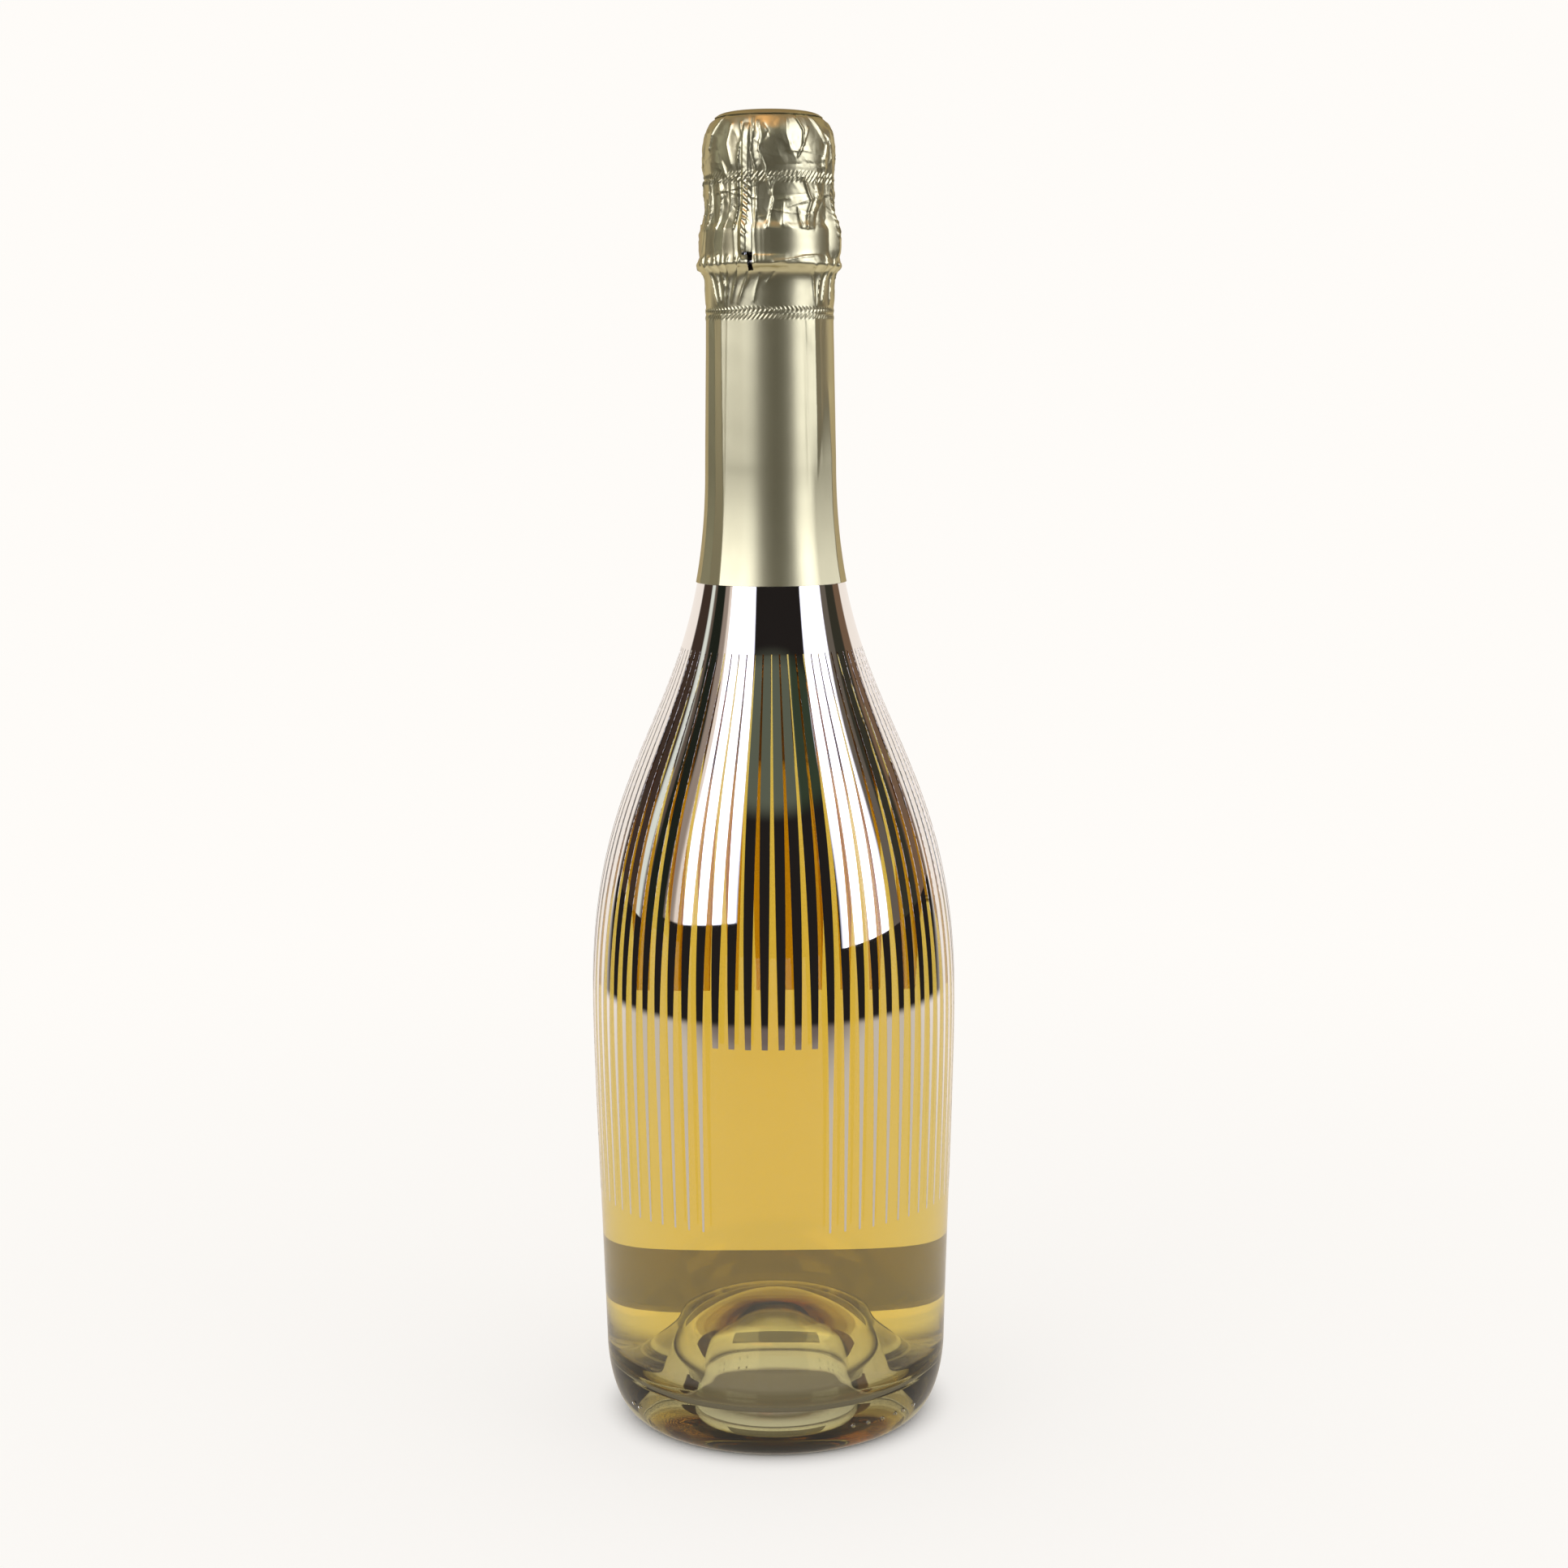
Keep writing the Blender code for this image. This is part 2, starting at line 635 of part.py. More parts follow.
def build():
    """Clear the scene and model the bottle with its closure and capsule."""
    for item in list(bpy.data.objects):
        bpy.data.objects.remove(item)
    collection = bpy.data.collections.new("sparkling_wine_bottle")
    bpy.context.scene.collection.children.link(collection)
    mouth = (0, 0, GLASS_HEIGHT)
    cork_axis = axis_empty("cork_axis", mouth, collection)
    cage_axis = axis_empty("cage_axis", mouth, collection)
    strip_axis = axis_empty("strip_axis", mouth, collection)
    hood_axis = axis_empty("hood_axis", mouth, collection)
    hinge = point_at(LOOP_TURN, loop_distance(0.0), loop_height())
    loop_axis = axis_empty("loop_axis", hinge, collection)
    make_glass(collection)
    make_wine(collection)
    make_cork(collection, cork_axis)
    make_cage(collection, cage_axis)
    make_loop(collection, loop_axis)
    make_foil(collection, strip_axis, hood_axis)


build()
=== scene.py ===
"""Looks of the sparkling wine bottle: glass, wine, silver stripes, crumpled foil and the closure.

Metres, +Z up, front towards -Y. Turns are counted from the front towards +X.
"""

import math

import bmesh
import bpy
import numpy as np
from mathutils import Matrix, Vector


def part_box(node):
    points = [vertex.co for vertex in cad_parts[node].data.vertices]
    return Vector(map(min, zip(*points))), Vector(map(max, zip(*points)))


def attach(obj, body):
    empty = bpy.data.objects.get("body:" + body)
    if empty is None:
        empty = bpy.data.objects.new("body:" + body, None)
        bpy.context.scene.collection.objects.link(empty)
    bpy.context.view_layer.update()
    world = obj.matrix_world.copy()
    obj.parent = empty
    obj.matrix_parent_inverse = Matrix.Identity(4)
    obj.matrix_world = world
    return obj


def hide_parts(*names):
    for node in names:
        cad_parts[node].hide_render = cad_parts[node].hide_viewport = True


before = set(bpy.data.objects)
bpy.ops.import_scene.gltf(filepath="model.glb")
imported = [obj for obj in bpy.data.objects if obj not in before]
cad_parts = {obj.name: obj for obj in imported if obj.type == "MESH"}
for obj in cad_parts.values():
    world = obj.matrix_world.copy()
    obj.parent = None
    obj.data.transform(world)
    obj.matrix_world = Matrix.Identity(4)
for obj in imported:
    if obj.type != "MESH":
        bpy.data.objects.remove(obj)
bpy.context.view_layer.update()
MM = 0.001
MICRON = 0.000001

# Places read from the frame
BODY_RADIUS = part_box("glass_bottle")[1].x
GLASS_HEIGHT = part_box("glass_bottle")[1].z
FILL_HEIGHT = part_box("wine")[1].z
SLEEVE_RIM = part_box("foil_sleeve")[0].z
LOWER_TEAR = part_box("foil_sleeve")[1].z
TOP_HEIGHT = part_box("foil_top_disc")[1].z
CORK_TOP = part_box("cork_body")[1].z
CORK_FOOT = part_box("cork_body")[0].z

# Glass
HEEL_TOP_RADIUS = 0.0423
HEEL_HEIGHT = 0.019
HEEL_DEPTH = 0.0075
BEARING_WIDTH = 0.0033
WIDEST_HEIGHT = 0.104
WALL = 0.0037
FLOOR_HEIGHT = 0.011
INNER_HEEL = 0.008
PUNT_DEPTH = 0.0315
PUNT_CROWN_GLASS = 0.003
PUNT_SHAPE = ((1.0, 0.0), (0.76, 0.08), (0.63, 0.2), (0.575, 0.368), (0.545, 0.537),
              (0.475, 0.73), (0.37, 0.863), (0.19, 0.975), (0.0, 1.0))
FLOOR_SHAPE = ((0.0, 1.0), (0.27, 0.955), (0.51, 0.77), (0.59, 0.54), (0.71, 0.33), (0.86, 0.08), (1.0, 0.0))
BODY_SWELL = ((0.42, 0.40), (0.78, 1.0))
SHOULDER_TOP = GLASS_HEIGHT - 0.0632
SHOULDER_LOW_SHARE = 0.499
SHOULDER_HIGH_SHARE = 0.474
NECK_FOOT_RADIUS = 0.01535
NECK_TOP_RADIUS = 0.0146
NECK_FOOT_BORE = 0.0100
MOUTH_BORE = 0.0090
BEAD_RADIUS = 0.0141
BEAD_HEIGHT = 0.0075
RING_RADIUS = 0.0161
RING_TOP = GLASS_HEIGHT - 0.0090
RING_BOTTOM = RING_TOP - 0.0065
EDGE_ROUND = 0.0013
MOUTH_ROUND = 0.0010
BEARING_ROUND = 0.0012
WINE_OVERLAP = 0.00006
GLASS_STEPS = 192
SHOULDER_POINTS = 72
SIDE_POINTS = 44
ARC_POINTS = 16
CORNER_POINTS = 7
CORNER_SHARE = 0.49
PUNT_PARTS = 6

# Silver coating and the plain panel printed on the back
COAT_PROUD = 0.00003
COAT_SUNK = 0.00003
BAND_FOOT = 0.1909
BAND_TUCK = 0.0015
STRIPE_COUNT = 72
STRIPE_SHIFT = math.radians(2.5)
STRIPE_COLUMNS = 4
LONG_STRIPE_FOOT = 0.057
SHORT_STRIPE_FOOT = 0.1018
BACK_STRIPE_FOOT = 0.0992
STRIPE_SHARES = ((0.057, 0.13), (0.085, 0.25), (0.102, 0.36), (0.115, 0.48),
                 (0.130, 0.60), (0.160, 0.77), (0.1909, 0.83))
FRONT_PANEL = (math.radians(-2.5), math.radians(17.5))
BACK_PANEL = (math.radians(177.5), math.radians(27.5))
PRINT_FOOT = 0.016
PRINT_TOP = 0.033
PRINT_HALF_TURN = math.radians(32)
PRINT_COLUMNS = 48
DOT_RADIUS = 0.00055
DOT_HEIGHT = 0.0075
DOT_RINGS = 6
DOT_STEPS = 14
DOT_TURNS = (-58, -54, 27, 33, 39, 45, 49, 55, 118, 124, 133, 139, 148, 200, 206, 221, 227)

# Cork, cap plate and cage
CORK_HEAD_RADIUS = 0.0142
CORK_HEAD_HEIGHT = 0.0152
CORK_HEAD_SHAPE = ((0.4, 0.995), (0.67, 0.975), (0.83, 0.91), (0.94, 0.79), (0.99, 0.61),
                   (1.0, 0.42), (0.985, 0.2), (0.94, 0.05), (0.86, 0.0))
CORK_SEAT = GLASS_HEIGHT + 0.0003
CORK_STEM_RADIUS = MOUTH_BORE - 0.00005
CORK_EDGE = 0.0005
CORK_DISC_EDGE = 0.0004
CORK_STEPS = 96
CORK_PARTS = 5
PLATE_GAP = 0.0003
PLATE_THICKNESS = 0.0003
PLATE_SPACING = 0.00025
PLATE_PARTS = 6
PLATE_SHAPE = ((0, 0), (4.5, 0), (5.2, 0.22), (6.0, 0.22), (6.7, -0.02), (9.0, -0.2), (11.3, -0.9),
               (12.8, -2.2), (13.75, -3.7))
STRAND_RADIUS = 0.0003
STRAND_OFFSET = 0.00032
TWIST_LENGTH = 0.0034
CROWN_RADIUS = 0.0080
CROWN_SPREAD = 0.0021
FORK_RADIUS = 0.0125
TWIST_PARTS = 14
CROWN_BEND = (-0.45, 0, 0.45)
CROWN_PARTS = 10
LEG_PARTS = 8
LEG_COUNT = 4
FIRST_LEG_TURN = math.radians(-20)
LEG_TURNS = [FIRST_LEG_TURN + 2 * math.pi * number / LEG_COUNT for number in range(LEG_COUNT)]
LEG_SKIRTS = (0.55, 1.5, 1.0, 1.2)
PAIR_RADIUS = STRAND_OFFSET + STRAND_RADIUS
LEG_SIDE = CORK_HEAD_RADIUS + 0.00094
LEG_AT_RING = RING_RADIUS + 0.00094
BELT_WIRE_RADIUS = 0.00045
BELT_RADIUS = NECK_TOP_RADIUS + 0.00075
BELT_HEIGHT = RING_BOTTOM - 0.0012
LOOP_TURN = math.radians(205)
LOOP_FOOT = BELT_HEIGHT + BELT_WIRE_RADIUS
LOOP_STEM = 0.0066
LOOP_STEM_TURNS = 2.5
LOOP_EYE_LENGTH = 0.0088
LOOP_EYE_HALF_WIDTH = 0.0036
LOOP_LEAN = 0.0011
STEM_PARTS = 36
EYE_PARTS = 24
BELT_PARTS = 180

# Foil
FOIL_THICKNESS = 0.00010
FOIL_COLUMNS = 540
FOIL_ROW = 0.0002
SLEEVE_ROW = 0.0009
CLOSE_ROWS = 0.003
FOIL_PARTS = 8
FOIL_SHARP = 65
SLEEVE_LENGTH = 0.06
SLEEVE_WAVE = 0.006 * MM
SLEEVE_STAND = 0.00033
FOIL_ROUND = 0.0155
DISC_SPACING = 0.0003
DISC_SHAPE = ((0, 0), (4.5, -0.02), (8.5, -0.16), (10.5, -0.42), (11.8, -0.85), (12.7, -1.45))
FACET_ROWS = 64
FACET_WARP = 0.35
DEEPEST_DENT = -0.15 * MM
# Where the foil is drawn tight, smooth or low: from one height to another in mm, with a soft border
TIGHT_ZONE = (282.6, 289.0, 0.5)
SMOOTH_ZONE = (266, 280.2, 1.2)
LOW_ZONE = (270, 283, 2)
FOLDS_END = 270.6 * MM
HOOD_BEND = 315.3 * MM
ROPE_RISE = 0.15 * MM
ROPE_PITCH = 1.9 * MM
ROPE_HALF_WIDTH = 0.95 * MM
ROPE_FAINT = 0.12
ROPE_CLEAR = (286.5, 300.5, 1.5)
LEG_FLAT = 0.55 * MM
SKIRT_START = 0.9
SKIRT_GROWTH = 900
LOOP_SPACE = 0.12 * MM
LOOSE_FOIL = 0.1 * MM
LOOP_HOLLOW = 0.25 * MM
LOOP_SKIRT = 2.4 * MM

# Perforations: each row's height and half height in mm, its lean, its cuts' width in mm and their kind
TEAR_PITCH = 1.10
TEAR_RISE = 0.23 * MM
CUT_DEPTH = 0.34
HOOD_CUTS = (301.2, 0.52, 0.8, 0.24, "straight")
STRIP_UPPER_CUTS = (299.9, 0.52, 0.8, 0.24, "straight")
STRIP_LOWER_CUTS = (270.5, 0.54, -0.9, 0.22, "bent")
SLEEVE_CUTS = (268.9, 0.54, 0.9, 0.22, "straight")

# Finishes
FINISH_OUTPUTS = {"Colour": "NodeSocketColor", "Roughness": "NodeSocketFloat", "Height": "NodeSocketFloat"}
EDGE_TINT = (0.36, 0.285, 0.19)
FOIL_SHINE = {"Metallic": 0.95, "Specular Tint": EDGE_TINT}
METAL_SHINE = {"Metallic": 1.0}
PLATE_SHINE = {"Metallic": 1.0, "Coat Weight": 0.4, "Coat Roughness": 0.1}
GOLD = (0.83, 0.775, 0.49)
CORK_SHINE = {"Specular IOR Level": 0.25}
# Clear bodies: wave scale, haze, bump in micrometres, refraction, then what they absorb and its density
CLEAR_LOOKS = (
    ("glass", "clear_glass_look", 55.0, 0.02, 20.0, 1.5, (0.66, 0.62, 0.38), 50.0),
    ("wine", "wine_look", 20.0, 0.0, 1.0, 1.34, (0.9575, 0.8425, 0.2125), 40.0),
)
# Metals and the print: the values of METAL_LABELS, the bump in micrometres and the shader's constants
METAL_LABELS = ("Colour", "Shade", "Cloud Scale", "Grain Scale", "Roughness", "Spread", "Stretch")
METAL_LOOKS = (
    ("silver", "silver_coat", (0.93, 0.90, 0.87), 0.96, 40.0, 900.0, 0.02, 0.02, 0.25, 0.6, METAL_SHINE),
    # The print is a real pale panel, but its darker, browner colour here is painted shade, for how it looks
    # from the front through the wine
    ("print", "print_with_painted_shade", (0.70, 0.61, 0.32), 0.90, 300.0, 4000.0, 0.5, 0.1, 1.0, 4.0, {"Alpha": 0.56}),
    ("foil", "crumpled_foil", GOLD, 0.88, 260.0, 5000.0, 0.31, 0.10, 1.0, 4.0, FOIL_SHINE),
    ("disc", "disc_foil", GOLD, 0.88, 90.0, 5000.0, 0.30, 0.08, 1.0, 3.0, FOIL_SHINE),
    ("sleeve", "satin_foil", GOLD, 0.88, 120.0, 3200.0, 0.35, 0.06, 0.6, 6.0, FOIL_SHINE),
    ("lining", "foil_lining", (0.80, 0.80, 0.78), 0.9, 120.0, 4000.0, 0.38, 0.1, 1.0, 6.0, METAL_SHINE),
    ("tin", "plate_lacquer", (0.78, 0.66, 0.38), 0.88, 120.0, 4000.0, 0.24, 0.1, 1.0, 4.0, PLATE_SHINE),
    ("wire", "galvanised_wire", (0.66, 0.67, 0.69), 0.75, 700.0, 4000.0, 0.28, 0.14, 0.3, 8.0, METAL_SHINE),
)
CORK_LABELS = ("Granule Scale", "Light", "Dark", "Pits")
CORK_LOOKS = (
    ("cork", "pressed_cork", 700.0, (0.55, 0.36, 0.19), (0.25, 0.13, 0.06), 0.6, 120.0, CORK_SHINE),
    ("cork_disc", "disc_cork", 320.0, (0.66, 0.47, 0.27), (0.32, 0.18, 0.09), 0.25, 80.0, CORK_SHINE),
)

# Studio: the colours of the room round the bottle, by the turn where each begins
PLAIN_WHITE = (0.996, 0.972, 0.940)
EVEN_LIGHT = (0.86, 0.86, 0.86)
SHADE_IN_GLASS = (0.18, 0.18, 0.18)
SOFTBOX = (2.3, 2.35, 2.8)
WALL_WHITE = (0.93, 0.86, 0.80)
NEAR_BLACK = (0.016, 0.0135, 0.0125)
GREEN_GREY = (0.105, 0.118, 0.086)
DARK_GREEN = (0.035, 0.050, 0.030)
BROWN_WALL = (0.28, 0.18, 0.10)
REAR_MIDDLE = (0.62, 0.54, 0.41)
REAR_HIGH = (0.46, 0.36, 0.20)
DIM_CEILING = (0.24, 0.21, 0.15)
ORANGE_GLOW = (1.7, 0.86, 0.32)
LEFT_SIDE = ((-127, (0.050, 0.032, 0.024)), (-103, (0.72, 0.76, 0.70)), (-96, (0.12, 0.09, 0.07)),
             (-91, (0.014, 0.017, 0.012)), (-75, (0.30, 0.24, 0.20)), (-67, (0.80, 0.70, 0.62)),
             (-62, SOFTBOX))
RIGHT_SIDE = ((45, SOFTBOX), (80, (0.13, 0.11, 0.09)), (92, (0.036, 0.034, 0.024)),
              (110, (0.17, 0.105, 0.065)))
FOOT_ROOM = ((-180, WALL_WHITE), *LEFT_SIDE[:4], (-75, NEAR_BLACK), *RIGHT_SIDE, (127, WALL_WHITE))
LOW_ROOM = ((-180, WALL_WHITE), *LEFT_SIDE, (-24, NEAR_BLACK), *RIGHT_SIDE, (127, WALL_WHITE))
MIDDLE_ROOM = ((-180, REAR_MIDDLE), *LEFT_SIDE, (-24, NEAR_BLACK), *RIGHT_SIDE, (127, REAR_MIDDLE))
HIGH_ROOM = ((-180, REAR_HIGH), *LEFT_SIDE, (-24, GREEN_GREY), (24, DARK_GREEN), *RIGHT_SIDE,
             (127, REAR_HIGH))
CEILING = ((-180, BROWN_WALL), (-44, ORANGE_GLOW), (-6, BROWN_WALL))
SOFTBOX_FEET = ((-180, 0.0), (-62, 0.052), (-24, 0.108), (45, 0.026), (80, 0.0), (180, 0.0))
FEET_REACH = 0.25
EDGE_SOFTNESS = 0.0022
# Where one room gives way to the next, as the upward part of a ray's direction
FEET_EDGE = (-0.004, 0.004)
MIDDLE_EDGE = (0.26, 0.32)
HIGH_EDGE = (0.48, 0.55)
CEILING_EDGE = (0.72, 0.86)
CEILING_THROUGH = (0.30, 0.66)

# Table
TABLE_SPREAD = 40.0
TABLE_RADIUS = 0.46
TABLE_FADE = (0.10, 0.60)
TABLE_GLOW = 0.68
TABLE_BACK = (-0.05, 0.30)
EDGE_DEPTH = 0.5
FOOT_SHADE = (0.034, 0.046)
GLASS_SHADE = (0.036, 0.064)
DARK_FROM = (1.09, 1.22)
DARK_SLANT = 0.75
DARK_SOFTNESS = 0.10
FLOOR_REFLECTED = (0.58, 0.52, 0.44)
TABLE_EDGE = (0.16, 0.125, 0.11)
# Painted shadow: the dark glow of the floor under and beside the bottle, as seen through glass
PAINTED_SHADOW_UNDER_GLASS = (0.19, 0.165, 0.125)
FLOOR_THROUGH = (0.95, 0.895, 0.84)

# Lamps: turn, height, distance, width, tallness and power. Camera: place, lens, dip and roll
LAMPS = (("left_softbox", -46, 0.42, 0.95, 0.62, 0.9, 1.1),
         ("right_softbox", 62, 0.42, 0.95, 0.50, 0.9, 1.0))
CAMERA_PLACE = (0.0028, -0.612, 0.250)
CAMERA_LENS = 58.24
CAMERA_DIP = 8.64
CAMERA_ROLL = -0.3
GLASS_BOUNCES = 20


def bezier(corners, points):
    """Points along a cubic curve through the first and last of four corners."""
    a, b, c, d = (Vector(corner) for corner in corners)
    curve = []
    for step in range(points):
        t = step / (points - 1)
        u = 1 - t
        curve.append(tuple(a * u ** 3 + b * 3 * u * u * t + c * 3 * u * t * t + d * t ** 3))
    return curve


def quarter(centre, across, up, points):
    """A quarter of an ellipse, from the side of its centre to above or below it."""
    turns = [math.pi / 2 * step / (points - 1) for step in range(points)]
    return [(centre[0] + across * math.cos(turn), centre[1] + up * math.sin(turn)) for turn in turns]


def softened(outline, reach):
    """Round each inner corner of an outline over a reach along its sides."""
    made = [outline[0]]
    for before, corner, after in zip(outline, outline[1:], outline[2:]):
        middle = Vector(corner)
        start, end = (middle + side.normalized() * min(reach, side.length * CORNER_SHARE)
                      for side in (Vector(before) - middle, Vector(after) - middle))
        for step in range(CORNER_POINTS):
            t = step / (CORNER_POINTS - 1)
            made.append(tuple(start * (1 - t) ** 2 + middle * 2 * t * (1 - t) + end * t * t))
    return made + [outline[-1]]


def flowing(points, parts):
    """A smooth line through points, with each span cut in parts."""
    line = [Vector(point) for point in points]
    line = [line[0] * 2 - line[1]] + line + [line[-1] * 2 - line[-2]]
    made = []
    for a, b, c, d in zip(line, line[1:], line[2:], line[3:]):
        for part in range(parts):
            t = part / parts
            made.append((b * 2 + (c - a) * t + (a * 2 - b * 5 + c * 4 - d) * t * t
                         + (b * 3 - a - c * 3 + d) * t ** 3) / 2)
    return made + [line[-2]]


def evenly(points, spacing):
    """A line's points again, at even steps of about a spacing along it."""
    line = np.array([tuple(point) for point in points])
    lengths = np.concatenate([[0], np.cumsum(np.linalg.norm(np.diff(line, axis=0), axis=1))])
    places = np.linspace(0, lengths[-1], max(2, round(lengths[-1] / spacing) + 1))
    return np.stack([np.interp(places, lengths, column) for column in line.T], axis=1)


def line_normals(line):
    """The unit normals on the left side of a line of (radius, height) points."""
    along = np.gradient(np.asarray(line), axis=0)
    normals = np.stack([-along[:, 1], along[:, 0]], axis=1)
    return normals / np.linalg.norm(normals, axis=1)[:, None]


def point_at(turn, radius, height):
    """A point at a turn from the front, at a radius and a height."""
    return Vector((radius * math.sin(turn), -radius * math.cos(turn), height))


def turns_round(count):
    """Even turns once round the axis."""
    return [2 * math.pi * step / count for step in range(count)]


def turn_between(first, second):
    """The signed turn from the second turn to the first one."""
    return (first - second + math.pi) % (2 * math.pi) - math.pi


def linked(name, data):
    """An object of some data, linked to the scene."""
    item = bpy.data.objects.new(name, data)
    bpy.context.scene.collection.objects.link(item)
    return item


def new_piece(name, points, faces, surfaces, sharp=50):
    """A piece from points and faces, shaded smooth up to an angle."""
    mesh = bpy.data.meshes.new(name)
    mesh.from_pydata(points, [], faces)
    mesh.shade_smooth()
    mesh.set_sharp_from_angle(angle=math.radians(sharp))
    for surface in surfaces:
        mesh.materials.append(surface)
    return linked(name, mesh)


def settle(item, body, slot, *nodes):
    """Let a piece ride on a body and stand for its CAD nodes. The slot is not used."""
    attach(item, body)
    if nodes:
        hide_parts(*nodes)


def turned(name, outline, steps, surface, closed=False):
    """Turn an outline of (radius, height) points round the axis. On the axis it has one point."""
    points, rings, faces = [], [], []
    for radius, height in outline:
        if radius < MM * MM:
            rings.append([len(points)] * steps)
            points.append((0, 0, height))
        else:
            rings.append(list(range(len(points), len(points) + steps)))
            points += [point_at(turn, radius, height) for turn in turns_round(steps)]
    pairs = list(zip(rings, rings[1:])) + ([(rings[-1], rings[0])] if closed else [])
    for upper, lower in pairs:
        for step in range(steps):
            after = (step + 1) % steps
            corners = list(dict.fromkeys([upper[step], lower[step], lower[after], upper[after]]))
            if len(corners) > 2:
                faces.append(corners)
    return new_piece(name, points, faces, [surface])


def shoulder(low_radius, high_radius):
    """The S curve from the neck's foot down to the widest place."""
    reach = SHOULDER_TOP - WIDEST_HEIGHT
    return bezier((
        (high_radius, SHOULDER_TOP),
        (high_radius, SHOULDER_TOP - SHOULDER_HIGH_SHARE * reach),
        (low_radius, WIDEST_HEIGHT + SHOULDER_LOW_SHARE * reach),
        (low_radius, WIDEST_HEIGHT),
    ), SHOULDER_POINTS)


def body_side(low_radius, high_radius, foot):
    """The slightly swelling side from the widest place down to a foot height."""
    rise = WIDEST_HEIGHT - foot
    spread = high_radius - low_radius
    (low_up, low_out), (high_up, high_out) = BODY_SWELL
    return bezier((
        (high_radius, WIDEST_HEIGHT),
        (low_radius + high_out * spread, foot + high_up * rise),
        (low_radius + low_out * spread, foot + low_up * rise),
        (low_radius, foot),
    ), SIDE_POINTS)


def glass_side():
    """The glass's outer side, from the neck's top down to the heel."""
    wide = BODY_RADIUS - COAT_PROUD
    neck = [(NECK_TOP_RADIUS, RING_BOTTOM - EDGE_ROUND)]
    return neck + shoulder(wide, NECK_FOOT_RADIUS) + body_side(HEEL_TOP_RADIUS, wide, HEEL_HEIGHT)[1:]


def glass_outside():
    """The outer outline of the glass, from the mouth down to the middle of the punt."""
    finish = softened([
        (MOUTH_BORE, GLASS_HEIGHT),
        (BEAD_RADIUS, GLASS_HEIGHT),
        (BEAD_RADIUS, GLASS_HEIGHT - BEAD_HEIGHT),
        (RING_RADIUS, RING_TOP),
        (RING_RADIUS, RING_BOTTOM),
        (NECK_TOP_RADIUS, RING_BOTTOM),
        (NECK_TOP_RADIUS, RING_BOTTOM - 2 * EDGE_ROUND),
    ], EDGE_ROUND)
    bearing = HEEL_TOP_RADIUS - HEEL_DEPTH
    edge = bearing - BEARING_WIDTH
    heel = quarter((bearing, HEEL_HEIGHT), HEEL_DEPTH, -HEEL_HEIGHT, ARC_POINTS)
    punt = dome([(edge * across, PUNT_DEPTH * up) for across, up in PUNT_SHAPE])
    foot = softened([heel[-1], (edge + BEARING_ROUND, 0), punt[1]], BEARING_ROUND)
    return finish[1:-1] + glass_side()[1:] + heel[1:] + foot[1:-1] + punt[1:]


def dome(points):
    """A smooth outline through points, level where it meets the axis."""
    mirrored = [(-radius, height) for radius, height in points]
    whole = points + mirrored[-2::-1] if points[-1][0] == 0 else mirrored[:0:-1] + points
    smooth = [tuple(point) for point in flowing(whole, PUNT_PARTS)]
    kept = [(max(radius, 0.0), height) for radius, height in smooth if radius > -MM * MM]
    middle = min(range(len(kept)), key=lambda index: kept[index][0])
    kept[middle] = (0.0, kept[middle][1])
    return kept


def glass_inside():
    """The inner outline of the glass, from the middle of the floor up to the mouth."""
    wall_foot = HEEL_TOP_RADIUS - WALL
    low_radius = wall_foot - INNER_HEEL
    rise = PUNT_DEPTH + PUNT_CROWN_GLASS - FLOOR_HEIGHT
    floor = dome([(low_radius * across, FLOOR_HEIGHT + rise * up) for across, up in FLOOR_SHAPE])[:-1]
    corner = quarter((low_radius, FLOOR_HEIGHT + INNER_HEEL), INNER_HEEL, -INNER_HEEL, ARC_POINTS)
    side = body_side(wall_foot, BODY_RADIUS - WALL, FLOOR_HEIGHT + INNER_HEEL)
    slope = shoulder(BODY_RADIUS - WALL, NECK_FOOT_BORE)
    mouth = [(MOUTH_BORE, CORK_FOOT), (MOUTH_BORE, GLASS_HEIGHT - MOUTH_ROUND)]
    return floor + corner[::-1] + side[::-1][1:] + slope[::-1][1:] + mouth


def side_radius(height):
    """The outer radius of the glass at a height between the heel and the ring."""
    side = glass_side()[::-1]
    return np.interp(height, [up for radius, up in side], [radius for radius, up in side])


def coating_rows(foot, top):
    """Rows of (radius, height) on the glass's side between two heights, from the top down."""
    inner = [(radius, up) for radius, up in glass_side() if foot < up < top]
    rows = [(float(side_radius(top)), top)] + inner + [(float(side_radius(foot)), foot)]
    return np.array(rows)


def coating(name, strips, columns, surface):
    """Thin strips on the glass. Each has its rows of places and its two sides' turns for each row."""
    points, normals, faces = [], [], []
    around = [(column, COAT_PROUD, 1) for column in range(columns + 1)]
    around += [(column, -COAT_SUNK, -1) for column in range(columns, -1, -1)]
    count = len(around)
    for rows, starts, ends in strips:
        base = len(points)
        for (radius, height), (out, up), start, end in zip(rows, line_normals(rows), starts, ends):
            for column, level, sign in around:
                turn = start + (end - start) * column / columns
                points.append(point_at(turn, radius + out * level, height + up * level))
                normals.append(point_at(turn, out, up) * sign)
        last = len(points) - count
        for upper in range(base, last, count):
            lower = upper + count
            for side in range(count):
                after = (side + 1) % count
                faces.append((upper + side, lower + side, lower + after, upper + after))
        for column in range(columns):
            inner = count - 1 - column
            faces.append((base + column + 1, base + inner - 1, base + inner, base + column))
            faces.append((last + column, last + inner, last + inner - 1, last + column + 1))
    item = new_piece(name, points, faces, [surface])
    item.data.normals_split_custom_set_from_vertices(normals)
    return item


